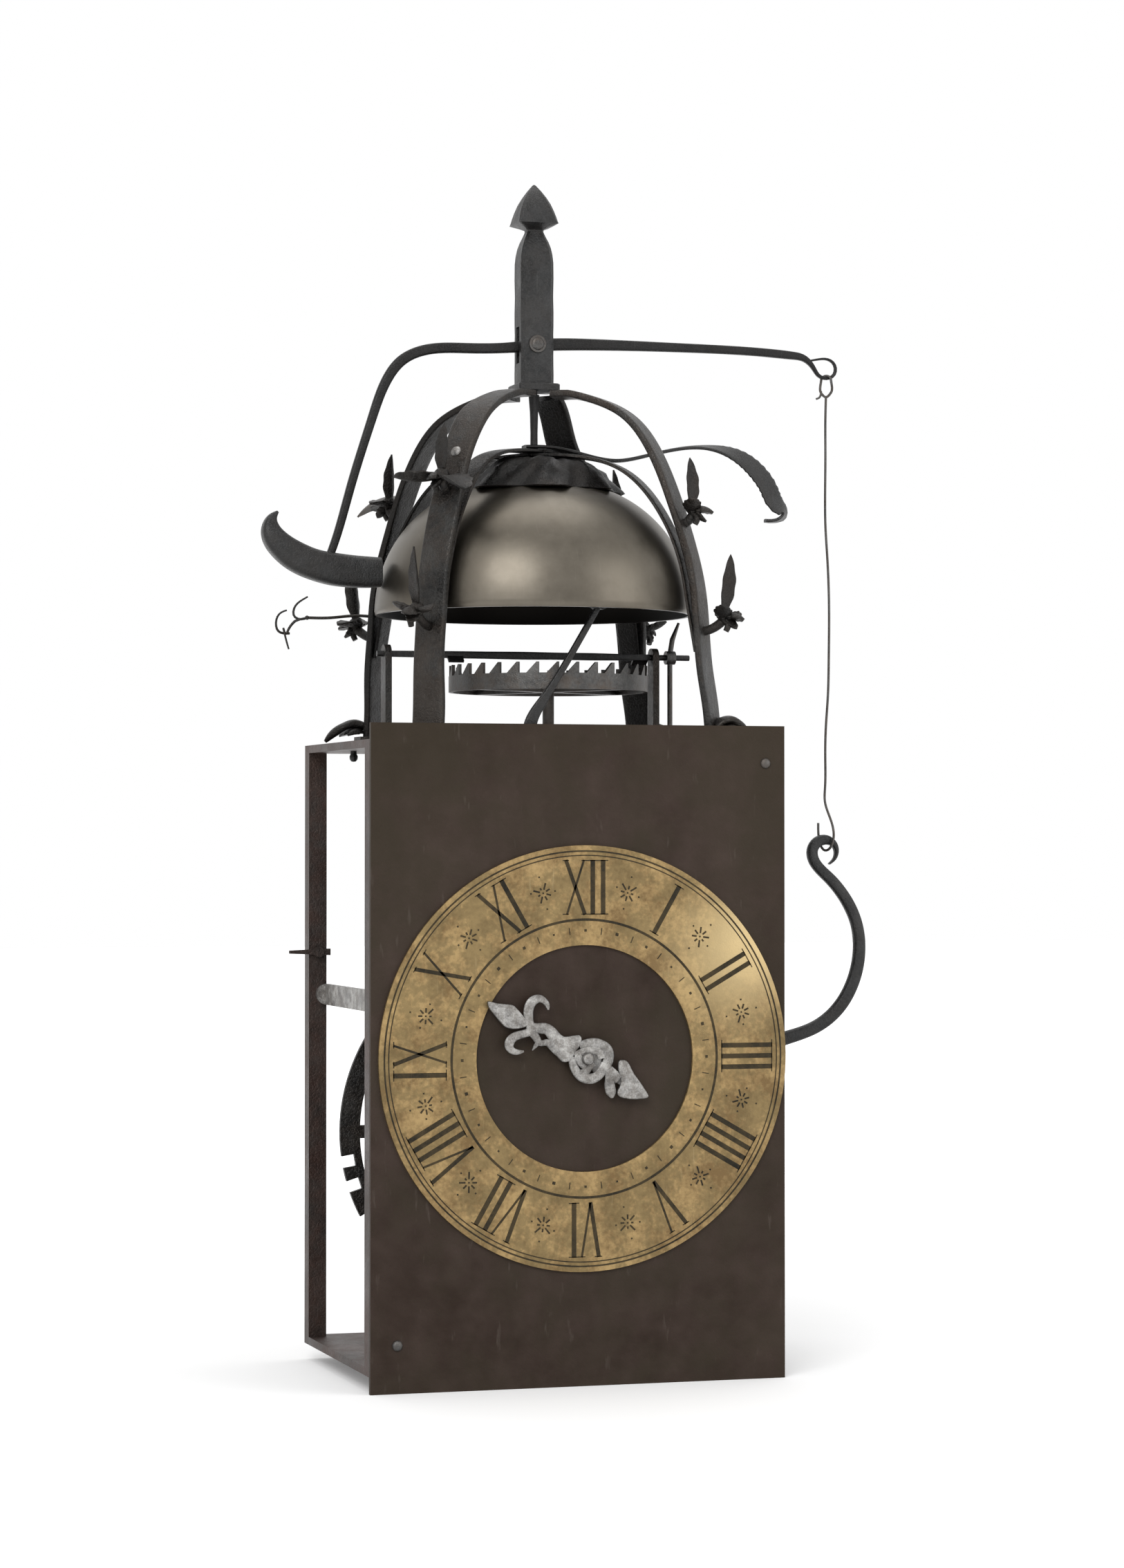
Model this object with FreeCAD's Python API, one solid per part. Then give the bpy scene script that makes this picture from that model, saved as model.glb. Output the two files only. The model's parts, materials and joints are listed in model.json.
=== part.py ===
import FreeCAD, Part
import math
import os

# Weight-driven chamber clock: an open iron frame behind a flat dial plate, with a
# going train, a striking train, a bell cage and an outside hammer.
# Millimetres. X to the right of the dial, Y towards the back, Z up. The origin is
# the middle of the dial plate's bottom edge, where the clock stands.

Vec = FreeCAD.Vector
AXIS_X = Vec(1, 0, 0)
AXIS_Y = Vec(0, 1, 0)
AXIS_Z = Vec(0, 0, 1)
os.makedirs("parts", exist_ok=True)

# Dial plate and frame
dial_w = 160.0
dial_h = 244.0
dial_t = 2.0
frame_front = dial_t / 2
frame_back = 103.5
base_low = 6.2
plate_t = 3.0
top_high = 238.0
post_w = 7.0
tenon_w = 4.0
bar_w = 16.0
bar_t = 3.0
front_bar_y = 10.0
middle_bar_y = 54.0
back_bar_y = 83.0
strap_z = 141.6
strap_h = 8.0
strap_t = 2.0
strap_x = 74.0

# Centre line of both trains, and the bell's axis
train_x = 1.4
dial_z = 120.7
bell_x = -2.5
bell_y = 51.5

# Running clearance of a pivot in its hole, on the radius
run_gap = 0.05
pivot_r = 1.2
arbor_r = 2.2

# Going train: teeth, modules and heights of the arbors
great_teeth = 48
great_m = 1.75
second_teeth = 36
second_m = 1.75
pinion_leaves = 6
contrate_teeth = 27
contrate_r = 26.0
crown_teeth = 31
crown_r = 38.0
crown_y = 45.5
crown_low = 257.5
crown_tip = 267.6
great_z = 62.0
second_z = great_z + great_m * (great_teeth + pinion_leaves) / 2
contrate_z = second_z + second_m * (second_teeth + pinion_leaves) / 2
crown_pinion_r = contrate_r * pinion_leaves / contrate_teeth
hour_teeth = 60
report_leaves = 5
hour_m = 2 * (dial_z - great_z) / (hour_teeth + report_leaves)

# Verge and pendulum
verge_z = 271.4
verge_left = -66.0
verge_right = 58.0
pallet_r = 4.2
pendulum_x = 50.3
bob_z = 197.0

# Striking train
strike_z = 53.5
strike_teeth = 48
strike_m = 1.6
locking_teeth = 42
locking_m = 1.3
locking_z = strike_z + strike_m * (strike_teeth + pinion_leaves) / 2
fly_z = locking_z + locking_m * (locking_teeth + pinion_leaves) / 2
count_z = 88.5
count_r = 70.5
count_rim_w = 7.8
count_teeth = 36
count_m = 2 * (count_z - strike_z) / (count_teeth + pinion_leaves)
strike_pins = 13
strike_pin_r = 32.0

# Levers
let_off_y = 25.0
let_off_z = 140.5
detent_z = 178.0
detent_stud_r = 1.5
pull_pivot = (30.0, 119.5)
pull_eye = (116.1, 197.1)
pull_front = 49.5
pull_back = 53.5
lever_pivot = (-2.8, 390.6)
lever_eye = (116.6, 386.5)
lever_t = 3.0
wire_r = 0.6
inner_pivot_y = 5.0
inner_pivot_z = 226.0

# Bell and cage
bell_rim_z = 287.0
bell_r = 61.0
bell_top_z = 339.0
bell_wall = 2.2
cage_top_z = 373.0
leg_w = 13.0
leg_t = 2.8
hoop_t = 1.4
hoop_w = 9.0


def box(x0, x1, y0, y1, z0, z1):
    return Part.makeBox(x1 - x0, y1 - y0, z1 - z0, Vec(x0, y0, z0))


def rod(start, end, radius, end_radius=None):
    a = Vec(*start)
    b = Vec(*end)
    run = b - a
    if end_radius is None:
        return Part.makeCylinder(radius, run.Length, a, run)
    return Part.makeCone(radius, end_radius, run.Length, a, run)


def disc(x, z, y0, y1, radius):
    return Part.makeCylinder(radius, y1 - y0, Vec(x, y0, z), AXIS_Y)


def joined(shapes):
    whole = shapes[0].fuse(shapes[1:]) if len(shapes) > 1 else shapes[0]
    return whole.removeSplitter()


def polygon(points):
    return Part.Face(Part.makePolygon(points + [points[0]]))


def save(name, shape):
    shape.exportStep("parts/" + name + ".step")


# A toothed outline: straight-sided teeth whose root and tip widths are shares of
# the tooth pitch. phase is the angle in degrees of one tooth's middle.
def toothed_face(teeth, root_r, tip_r, root_share, tip_share, phase, lift):
    points = []
    pitch = 2 * math.pi / teeth
    for k in range(teeth):
        middle = math.radians(phase) + k * pitch
        for radius, turn in ((root_r, -root_share), (tip_r, -tip_share),
                             (tip_r, tip_share), (root_r, root_share)):
            angle = middle + turn * pitch / 2
            points.append(Vec(radius * math.cos(angle), radius * math.sin(angle), lift))
    return polygon(points)


# Stands a shape drawn about the Z axis up, so that its axis runs along +Y.
def stand_up(shape, x, z):
    turned = shape.copy()
    turned.rotate(Vec(0, 0, 0), AXIS_X, 90)
    turned.translate(Vec(x, 0, z))
    return turned


# A wheel whose axis runs along Y from y0 to y1, crossed out into spokes.
def wheel(x, z, y0, y1, teeth, module, phase, hub_r, bore_r, rim, spokes):
    pitch_r = teeth * module / 2
    root_r = pitch_r - 1.15 * module
    face = toothed_face(teeth, root_r, pitch_r + 0.75 * module, 0.56, 0.2, phase, -y1)
    body = face.extrude(Vec(0, 0, y1 - y0))
    window = Part.makeCylinder(root_r - rim, y1 - y0, Vec(0, 0, -y1))
    arms = [Part.makeCylinder(hub_r, y1 - y0, Vec(0, 0, -y1))]
    spoke_w = 0.13 * pitch_r
    for k in range(spokes):
        arm = Part.makeBox(root_r - rim / 2, spoke_w, y1 - y0, Vec(0, -spoke_w / 2, -y1))
        arm.rotate(Vec(0, 0, 0), AXIS_Z, phase + k * 360.0 / spokes)
        arms.append(arm)
    body = body.cut(window).fuse(arms)
    body = body.cut(Part.makeCylinder(bore_r, y1 - y0, Vec(0, 0, -y1)))
    return stand_up(body.removeSplitter(), x, z)


# Pinion leaves on an arbor along Y.
def pinion(x, z, y0, y1, leaves, module, phase):
    pitch_r = leaves * module / 2
    face = toothed_face(leaves, pitch_r - 1.1 * module, pitch_r + 0.62 * module,
                        0.44, 0.24, phase, -y1)
    return stand_up(face.extrude(Vec(0, 0, y1 - y0)), x, z)


# An arbor along Y with a thin pivot at each end.
def arbor(x, z, y0, y1, front_pivot, back_pivot, radius=arbor_r):
    parts = [disc(x, z, y0, y1, radius)]
    parts.append(disc(x, z, y0 - front_pivot, y0, pivot_r))
    parts.append(disc(x, z, y1, y1 + back_pivot, pivot_r))
    return parts


def pivot_hole(x, z, y):
    return disc(x, z, y - 1, y + bar_t + 1, pivot_r + run_gap)


# Base and top plates, with square holes for the tenons of posts and bars
post_x = dial_w / 2 - post_w
base_high = base_low + plate_t
top_low = top_high - plate_t
post_spots = {
    "front_left": (-dial_w / 2, frame_front),
    "front_right": (post_x, frame_front),
    "back_left": (-dial_w / 2, frame_back - post_w),
    "back_right": (post_x, frame_back - post_w),
}
bar_ys = (front_bar_y, middle_bar_y, back_bar_y)
bar_tenon_w = 10.0


def post_tenon(spot, z0, z1):
    inset = (post_w - tenon_w) / 2
    x, y = spot[0] + inset, spot[1] + inset
    return box(x, x + tenon_w, y, y + tenon_w, z0, z1)


def bar_tenon(y, z0, z1):
    return box(train_x - bar_tenon_w / 2, train_x + bar_tenon_w / 2, y, y + bar_t, z0, z1)


def frame_plate(z0, z1):
    plate = box(-dial_w / 2, dial_w / 2, frame_front, frame_back, z0, z1)
    cuts = [post_tenon(spot, z0, z1) for spot in post_spots.values()]
    cuts += [bar_tenon(y, z0, z1) for y in bar_ys]
    return plate.cut(cuts)


going_pulley = (24.0, 34.0)
strike_pulley = (70.0, 77.0)
rope_r = 15.0
rope_slot = (10.0, 14.0)
base_plate = frame_plate(base_low, base_high)
for pulley in (going_pulley, strike_pulley):
    slot_y = (pulley[0] + pulley[1]) / 2
    for side in (-1, 1):
        slot_x = train_x + side * rope_r
        base_plate = base_plate.cut(box(slot_x - rope_slot[0] / 2, slot_x + rope_slot[0] / 2,
                                        slot_y - rope_slot[1] / 2, slot_y + rope_slot[1] / 2,
                                        base_low, base_high))
save("base_plate", base_plate)

pendulum_slot = (5.0, 32.0)
hammer_notch = (-22.5, -13.0, 9.0)
top_plate = frame_plate(top_low, top_high)
top_plate = top_plate.cut([
    Part.makeCylinder(arbor_r + run_gap, plate_t, Vec(train_x, crown_y, top_low)),
    box(pendulum_x - pendulum_slot[0] / 2, pendulum_x + pendulum_slot[0] / 2,
        crown_y - pendulum_slot[1] / 2, crown_y + pendulum_slot[1] / 2, top_low, top_high),
    box(hammer_notch[0], hammer_notch[1], frame_front, frame_front + hammer_notch[2],
        top_low, top_high),
])
save("top_plate", top_plate)

# Posts; two of the front ones have an ear behind a dial rivet
rivet_spots = {"front_left": (-69.9, 17.5), "front_right": (72.4, 230.0)}
ear_t = 2.5
# A pointed spur is riveted across the front face of the back left post
spur_z = 158.0
spur_front = frame_back - post_w - 1.8
spur_rivet_x = -76.5
spur_bar = polygon([Vec(-88.0, spur_front, spur_z - 0.6), Vec(-71.8, spur_front, spur_z - 1.3),
                    Vec(-71.8, spur_front, spur_z + 1.3),
                    Vec(-88.0, spur_front, spur_z + 0.6)]).extrude(Vec(0, 1.8, 0))
for name, spot in post_spots.items():
    x, y = spot
    post = box(x, x + post_w, y, y + post_w, base_high, top_low)
    tenons = [post_tenon(spot, base_low, base_high), post_tenon(spot, top_low, top_high)]
    post = joined([post] + tenons)
    if name in rivet_spots:
        ear_x, ear_z = rivet_spots[name]
        ear = box(min(ear_x - 4, post_x), max(ear_x + 4, -post_x), frame_front, frame_front + ear_t,
                  ear_z - 5, ear_z + 5)
        post = joined([post, ear])
    if name == "back_left":
        post = joined([post, spur_bar, disc(spur_rivet_x, spur_z, spur_front - 0.8, y, 2.0)])
    save("post_" + name, post)

foot_x = 35.0
rear_feet = []
for side in (-1, 1):
    foot = box(side * foot_x - 6, side * foot_x + 6, 86, 98, 0, base_low)
    rear_feet.append(foot)
save("rear_feet", Part.makeCompound(rear_feet))

# Dial plate with its two rivets, and the chapter ring
hour_arbor_r = 2.3
dial_plate = box(-dial_w / 2, dial_w / 2, -dial_t / 2, dial_t / 2, 0, dial_h)
dial_plate = dial_plate.cut(disc(train_x, dial_z, -2, 2, hour_arbor_r + run_gap))
dial_rivets = []
for x, z in rivet_spots.values():
    dial_plate = dial_plate.cut(disc(x, z, -dial_t / 2, dial_t / 2, 1.3))
    shank = disc(x, z, -dial_t / 2, frame_front, 1.3)
    head = disc(x, z, -dial_t / 2 - 1.2, -dial_t / 2, 2.2)
    dial_rivets.append(joined([shank, head]))
save("dial_plate", dial_plate)
save("dial_rivets", Part.makeCompound(dial_rivets))

ring_r = 78.6
ring_inner_r = 41.8
ring_t = 1.1
ring_front = -dial_t / 2 - ring_t
chapter_ring = disc(train_x, dial_z, ring_front, -dial_t / 2, ring_r)
chapter_ring = chapter_ring.cut(disc(train_x, dial_z, ring_front, -dial_t / 2, ring_inner_r))
save("chapter_ring", chapter_ring)

# Single hand: fleur-de-lis head towards the tenth hour and an arrow tail. It is
# drawn along +X from its pivot, then turned.
hand_front = -4.6
hand_t = 1.2
hand_angle = 149.0
hand_seat_r = 2.0


def leaf_face(length, width, start=0.0):
    upper = []
    for k in range(1, 8):
        share = k / 8
        upper.append((start + length * share, width / 2 * math.sin(math.pi * share ** 0.85) ** 0.8))
    points = [Vec(start, 0, 0)] + [Vec(x, y, 0) for x, y in upper] + [Vec(start + length, 0, 0)]
    points += [Vec(x, -y, 0) for x, y in upper[::-1]]
    return polygon(points)


def hand_piece(face, turn=0.0, at=(0.0, 0.0)):
    piece = face.extrude(Vec(0, 0, hand_t))
    piece.rotate(Vec(0, 0, 0), AXIS_Z, turn)
    piece.translate(Vec(at[0], at[1], 0))
    return piece


def curl(radius, width, at, start, end):
    a = math.radians(start)
    b = math.radians(end)
    inner = radius - width
    m = (a + b) / 2
    p = [Vec(r * math.cos(t), r * math.sin(t), 0) for r, t in
         ((radius, a), (radius, m), (radius, b), (inner, b), (inner, m), (inner, a))]
    edges = [Part.Arc(p[0], p[1], p[2]).toShape(), Part.makeLine(p[2], p[3]),
             Part.Arc(p[3], p[4], p[5]).toShape(), Part.makeLine(p[5], p[0])]
    return hand_piece(Part.Face(Part.Wire(edges)), 0, at)


hand = [
    hand_piece(leaf_face(15.0, 7.5, 27.0)),
    hand_piece(Part.Face(Part.Wire(Part.makeCircle(4.6)))),
    hand_piece(polygon([Vec(3, -1.6, 0), Vec(12, -3.4, 0), Vec(22, -1.5, 0), Vec(29, -1.3, 0),
                        Vec(29, 1.3, 0), Vec(22, 1.5, 0), Vec(12, 3.4, 0), Vec(3, 1.6, 0)])),
    hand_piece(polygon([Vec(22, -4.2, 0), Vec(24.4, -4.2, 0), Vec(24.4, 4.2, 0), Vec(22, 4.2, 0)])),
    curl(5.4, 2.2, (25.5, 5.2), -100, 120),
    curl(5.4, 2.2, (25.5, -5.2), -120, 100),
    curl(6.6, 1.9, (-5.5, 0), 60, 300),
    hand_piece(polygon([Vec(-3, -1.4, 0), Vec(-20, -1.2, 0), Vec(-20, 1.2, 0), Vec(-3, 1.4, 0)])),
    hand_piece(polygon([Vec(-19, -5.2, 0), Vec(-30, 0, 0), Vec(-19, 5.2, 0), Vec(-17, 0, 0)])),
    hand_piece(polygon([Vec(-12, -4.0, 0), Vec(-14.5, 0, 0), Vec(-12, 4.0, 0), Vec(-9.5, 0, 0)])),
]
hour_hand = joined(hand)
hour_hand = hour_hand.cut(Part.makeCylinder(hand_seat_r, hand_t))
hour_hand.rotate(Vec(0, 0, 0), AXIS_Z, hand_angle)
hour_hand = stand_up(hour_hand, train_x, dial_z)
hour_hand.translate(Vec(0, hand_front + hand_t, 0))
save("hour_hand", hour_hand)

# Hour wheel and its arbor
hour_y = (4.5, 7.0)
hour_wheel = wheel(train_x, dial_z, hour_y[0], hour_y[1], hour_teeth, hour_m,
                   -90 + 180.0 / hour_teeth, 7.0, hour_arbor_r, 8.0, 6)
lift_pins = []
for k in range(12):
    angle = math.radians(15 + 30 * k)
    lift_pins.append(disc(train_x + 47 * math.cos(angle), dial_z + 47 * math.sin(angle),
                          hour_y[1], hour_y[1] + 2.4, 1.0))
hour_arbor = [
    disc(train_x, dial_z, -2.2, front_bar_y - 0.5, hour_arbor_r),
    disc(train_x, dial_z, -6.4, -2.2, hand_seat_r),
    disc(train_x, dial_z, front_bar_y - 0.5, front_bar_y + bar_t + 0.5, pivot_r),
]
save("hour_wheel", joined([hour_wheel] + hour_arbor))
save("lift_pins", Part.makeCompound(lift_pins))

# The three movement bars. The middle and back bars have a side arm for the arbor
# of the pull lever, and the back bar carries the stud of the count wheel.
arm_end_x = pull_pivot[0] + 6


def movement_bar(y, holes, with_arm):
    parts = [box(train_x - bar_w / 2, train_x + bar_w / 2, y, y + bar_t, base_high, top_low)]
    parts.append(bar_tenon(y, base_low, base_high))
    parts.append(bar_tenon(y, top_low, top_high))
    if with_arm:
        parts.append(box(train_x, arm_end_x, y, y + bar_t, pull_pivot[1] - 5, pull_pivot[1] + 5))
    return joined(parts).cut([pivot_hole(x, z, y) for x, z in holes])


front_bar = movement_bar(front_bar_y, [(train_x, great_z), (train_x, second_z),
                                       (train_x, contrate_z), (train_x, dial_z)], False)
save("front_bar", front_bar)
middle_bar = movement_bar(middle_bar_y, [
    (train_x, great_z), (train_x, second_z), (train_x, contrate_z),
    (train_x, strike_z), (train_x, locking_z), (train_x, fly_z), pull_pivot], True)
save("middle_bar", middle_bar)
back_bar = movement_bar(back_bar_y, [(train_x, strike_z), (train_x, locking_z),
                                     (train_x, fly_z), pull_pivot], True)
count_stud_r = 3.0
back_bar = joined([back_bar, disc(train_x, count_z, back_bar_y + bar_t, 94.2, count_stud_r),
                   disc(train_x, detent_z, back_bar_y + bar_t, 93.0, detent_stud_r)])
save("back_bar", back_bar)

# Side straps between the posts, with a rounded lug at each end, and holes for the
# let-off lever
lug_t = 1.6
side_straps = []
for side in (-1, 1):
    low = strap_z - strap_h / 2
    inner_x = side * (strap_x - strap_t)
    x0 = min(side * strap_x, inner_x)
    front_y = frame_front + post_w
    back_y = frame_back - post_w
    strap_parts = [box(x0, x0 + strap_t, front_y, back_y, low, low + strap_h)]
    for lug_y in (front_y, back_y - lug_t):
        lug = disc(side * (strap_x - 0.7), strap_z, lug_y, lug_y + lug_t, strap_h / 2)
        outside = box(min(inner_x, side * 90), max(inner_x, side * 90), lug_y, lug_y + lug_t,
                      low, low + strap_h)
        strap_parts.append(lug.common(outside))
    strap = joined(strap_parts)
    side_straps.append(strap.cut(rod((side * 70, let_off_y, let_off_z),
                                     (side * 80, let_off_y, let_off_z), pivot_r + run_gap)))
save("side_straps", Part.makeCompound(side_straps))

# Going great wheel, rope pulley and arbor
great_y = (17.0, 20.0)
going_great = wheel(train_x, great_z, great_y[0], great_y[1], great_teeth, great_m,
                    90, 8.0, arbor_r, 5.5, 4)
save("going_great_wheel", going_great)


def ratchet(z, y0, y1):
    points = []
    for k in range(12):
        for radius, turn in ((10.0, 0.0), (13.0, 2.0)):
            angle = math.radians(30 * k + turn)
            points.append(Vec(radius * math.cos(angle), radius * math.sin(angle), -y1))
    face = polygon(points).extrude(Vec(0, 0, y1 - y0))
    return stand_up(face.cut(Part.makeCylinder(arbor_r, y1 - y0, Vec(0, 0, -y1))), train_x, z)


# A spiked rope pulley, turned with a V groove, with a ratchet against its wheel.
pulley_out = 18.0


def rope_pulley(z, y0, y1, wheel_back):
    middle = (y0 + y1) / 2
    profile = [Vec(arbor_r, y0, 0), Vec(pulley_out, y0, 0), Vec(pulley_out, y0 + 1.5, 0),
               Vec(rope_r - 2, middle - 1, 0), Vec(rope_r - 2, middle + 1, 0),
               Vec(pulley_out, y1 - 1.5, 0), Vec(pulley_out, y1, 0), Vec(arbor_r, y1, 0)]
    body = polygon(profile).revolve(Vec(0, 0, 0), AXIS_Y, 360)
    spikes = []
    for k in range(8):
        angle = math.radians(45 * k)
        x, up = math.cos(angle), math.sin(angle)
        spikes.append(rod(((rope_r - 2.5) * x, middle, (rope_r - 2.5) * up),
                          ((rope_r + 1) * x, middle, (rope_r + 1) * up), 0.8, 0.2))
    body = joined([body] + spikes)
    body.translate(Vec(train_x, 0, z))
    return joined([body, ratchet(z, wheel_back, y0)])


save("going_pulley", rope_pulley(great_z, going_pulley[0], going_pulley[1], great_y[1]))
report_y = (4.0, 8.0)
going_arbor = joined(arbor(train_x, great_z, front_bar_y + bar_t + 0.5, middle_bar_y - 0.5, 5.5, 3.5)
                     + [pinion(train_x, great_z, report_y[0], report_y[1], report_leaves, hour_m, 90)])
save("going_arbor", going_arbor)

# Second wheel of the going train
second_y = (43.0, 45.5)
save("second_wheel", wheel(train_x, second_z, second_y[0], second_y[1], second_teeth, second_m,
                           90, 6.0, arbor_r, 4.5, 4))
second_arbor = joined(arbor(train_x, second_z, front_bar_y + bar_t + 0.5, middle_bar_y - 0.5, 3.5, 3.5)
                      + [pinion(train_x, second_z, 15.5, 21.5, pinion_leaves, great_m,
                                -90 + 180.0 / pinion_leaves)])
save("second_arbor", second_arbor)

# Contrate wheel: its teeth stand on a drum and point to the back
contrate_y = (30.0, 36.5)
contrate_web = 1.8
contrate_wall = 3.3
contrate_out = contrate_r + contrate_wall / 2
contrate_in = contrate_r - contrate_wall / 2
contrate_tip_y = 41.0
drum = disc(train_x, contrate_z, contrate_y[0], contrate_y[1], contrate_out)
drum = drum.cut(disc(train_x, contrate_z, contrate_y[0] + contrate_web, contrate_y[1], contrate_in))
windows = []
for k in range(4):
    angle = math.radians(45 + 90 * k)
    windows.append(disc(train_x + 15 * math.cos(angle), contrate_z + 15 * math.sin(angle),
                        contrate_y[0], contrate_y[0] + contrate_web, 7.5))
drum = drum.cut(windows + [disc(train_x, contrate_z, contrate_y[0], contrate_y[1], arbor_r)])
contrate_parts = [drum]
for k in range(contrate_teeth):
    tooth = polygon([Vec(-1.3, 0, contrate_in + 0.15), Vec(-0.5, 4.5, contrate_in + 0.15),
                     Vec(0.5, 4.5, contrate_in + 0.15), Vec(1.3, 0, contrate_in + 0.15)])
    tooth = tooth.extrude(Vec(0, 0, contrate_wall - 0.5))
    tooth.rotate(Vec(0, 0, 0), AXIS_Y, k * 360.0 / contrate_teeth)
    tooth.translate(Vec(train_x, contrate_y[1], contrate_z))
    contrate_parts.append(tooth)
save("contrate_wheel", joined(contrate_parts))
contrate_arbor = joined(arbor(train_x, contrate_z, front_bar_y + bar_t + 0.5, middle_bar_y - 0.5, 3.5, 3.5)
                        + [pinion(train_x, contrate_z, 42.0, 46.5, pinion_leaves, second_m,
                                  -90 + 180.0 / pinion_leaves)])
save("contrate_arbor", contrate_arbor)

# Crown wheel on its upright arbor, above the top plate, with saw teeth
crown_wall = 1.6
crown_root = 263.5
crown = Part.makeCylinder(crown_r, crown_root - crown_low, Vec(0, 0, crown_low))
crown = crown.cut(Part.makeCylinder(crown_r - crown_wall, crown_root - crown_low, Vec(0, 0, crown_low)))
crown_parts = [crown, Part.makeCylinder(6, 3, Vec(0, 0, crown_low))]
for k in range(4):
    arm = Part.makeBox(crown_r - crown_wall / 2, 4.5, 1.8, Vec(0, -2.25, crown_low))
    arm.rotate(Vec(0, 0, 0), AXIS_Z, 30 + 90 * k)
    crown_parts.append(arm)
for k in range(crown_teeth):
    saw = polygon([Vec(crown_r - crown_wall + 0.05, -2.6, crown_root - 0.5),
                   Vec(crown_r - crown_wall + 0.05, 2.6, crown_root - 0.5),
                   Vec(crown_r - crown_wall + 0.05, 2.6, crown_tip),
                   Vec(crown_r - crown_wall + 0.05, 1.7, crown_tip)])
    saw = saw.extrude(Vec(crown_wall - 0.35, 0, 0))
    saw.rotate(Vec(0, 0, 0), AXIS_Z, k * 360.0 / crown_teeth)
    crown_parts.append(saw)
crown_wheel = joined(crown_parts).cut(Part.makeCylinder(arbor_r, 20, Vec(0, 0, crown_low - 5)))
crown_wheel.translate(Vec(train_x, crown_y, 0))
save("crown_wheel", crown_wheel)

potence_z = 160.0
crown_foot_z = potence_z + 4
leaf_low = 166.5
leaf_high = 177.0
leaves = toothed_face(pinion_leaves, crown_pinion_r - 2.2, crown_pinion_r + 1.2,
                      0.4, 0.22, -90 + 180.0 / pinion_leaves, leaf_low)
crown_arbor = joined([
    Part.makeCylinder(arbor_r, crown_low + 4 - crown_foot_z, Vec(0, 0, crown_foot_z)),
    Part.makeCylinder(pivot_r, 3, Vec(0, 0, crown_foot_z - 3)),
    leaves.extrude(Vec(0, 0, leaf_high - leaf_low)),
])
crown_arbor.translate(Vec(train_x, crown_y, 0))
save("crown_arbor", crown_arbor)
potence = joined([
    box(train_x - 5, train_x + 5, middle_bar_y - 1.5, middle_bar_y, potence_z - 6, potence_z + 14),
    box(train_x - 4, train_x + 4, crown_y - 4, middle_bar_y - 1.5, potence_z - 1, potence_z + 3.5),
]).cut(Part.makeCylinder(pivot_r + run_gap, 4, Vec(train_x, crown_y, potence_z)))
save("potence", potence)

# Verge with two pallets, held by a cock at each end
pallet_parts = [rod((verge_left, crown_y, verge_z), (verge_right, crown_y, verge_z), 1.1)]
for side, turn in ((-1, -50.0), (1, 50.0)):
    x = train_x + side * (crown_r - crown_wall / 2)
    flag = Part.makeBox(6, 1.0, pallet_r, Vec(x - 3, -0.5, -pallet_r))
    flag.rotate(Vec(0, 0, 0), AXIS_X, turn)
    flag.translate(Vec(0, crown_y, verge_z))
    pallet_parts.append(flag)
save("verge", joined(pallet_parts))


# A cock: an upright flat bracket with a foot on the top plate and a round eye.
def cock(x0, x1, foot_side):
    upright = box(x0, x1, crown_y - 3.5, crown_y + 3.5, top_high, verge_z)
    eye = rod((x0, crown_y, verge_z), (x1, crown_y, verge_z), 3.5)
    foot = box(min(x0, x0 + foot_side * 10), max(x1, x1 + foot_side * 10),
               crown_y - 5, crown_y + 5, top_high, top_high + 2)
    hole = rod((x0 - 1, crown_y, verge_z), (x1 + 1, crown_y, verge_z), 1.1 + run_gap)
    return joined([upright, eye, foot]).cut(hole)


cocks = [cock(-63.5, -61.0, -1), cock(42.4, 44.9, -1)]
save("verge_cocks", Part.makeCompound(cocks))

# Short pendulum on the verge's right end, with a bent tail above the verge
tail = [(pendulum_x, crown_y, verge_z + 1), (pendulum_x + 1.0, crown_y, verge_z + 7),
        (pendulum_x + 3.6, crown_y, verge_z + 13.5)]
pendulum = joined([
    rod((pendulum_x - 1.8, crown_y, verge_z), (pendulum_x + 1.8, crown_y, verge_z), 2.6),
    rod((pendulum_x, crown_y, bob_z), (pendulum_x, crown_y, verge_z), 1.0),
    rod(tail[0], tail[1], 1.0),
    rod(tail[1], tail[2], 1.0, 0.5),
    Part.makeSphere(1.0, Vec(*tail[1])),
]).cut(rod((pendulum_x - 3, crown_y, verge_z), (pendulum_x + 3, crown_y, verge_z), 1.1))
bob_profile = [Vec(1.0, 0, -8), Vec(4.5, 0, -7), Vec(7.5, 0, -2), Vec(6.0, 0, 4), Vec(2.2, 0, 9),
               Vec(1.0, 0, 9)]
bob = polygon(bob_profile).revolve(Vec(0, 0, 0), AXIS_Z, 360)
bob.translate(Vec(pendulum_x, crown_y, bob_z + 8))
save("pendulum", joined([pendulum, bob]))

# Striking great wheel with its lifting pins, pulley and arbor
strike_y = (64.0, 67.0)
strike_great = wheel(train_x, strike_z, strike_y[0], strike_y[1], strike_teeth, strike_m,
                     90, 8.0, arbor_r, 7.5, 4)
hammer_pins = []
for k in range(strike_pins):
    angle = math.radians(90 + 360.0 * (k + 0.5) / strike_pins)
    hammer_pins.append(disc(train_x + strike_pin_r * math.cos(angle),
                            strike_z + strike_pin_r * math.sin(angle), 59.5, strike_y[0] + 1, 1.3))
save("strike_great_wheel", joined([strike_great] + hammer_pins))
save("strike_pulley", rope_pulley(strike_z, strike_pulley[0], strike_pulley[1], strike_y[1]))
strike_arbor = joined(arbor(train_x, strike_z, middle_bar_y + bar_t + 0.5, back_bar_y - 0.5, 3.5, 4.6)
                      + [pinion(train_x, strike_z, 86.8, 89.2, pinion_leaves, count_m, 90)])
save("strike_arbor", strike_arbor)

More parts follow.
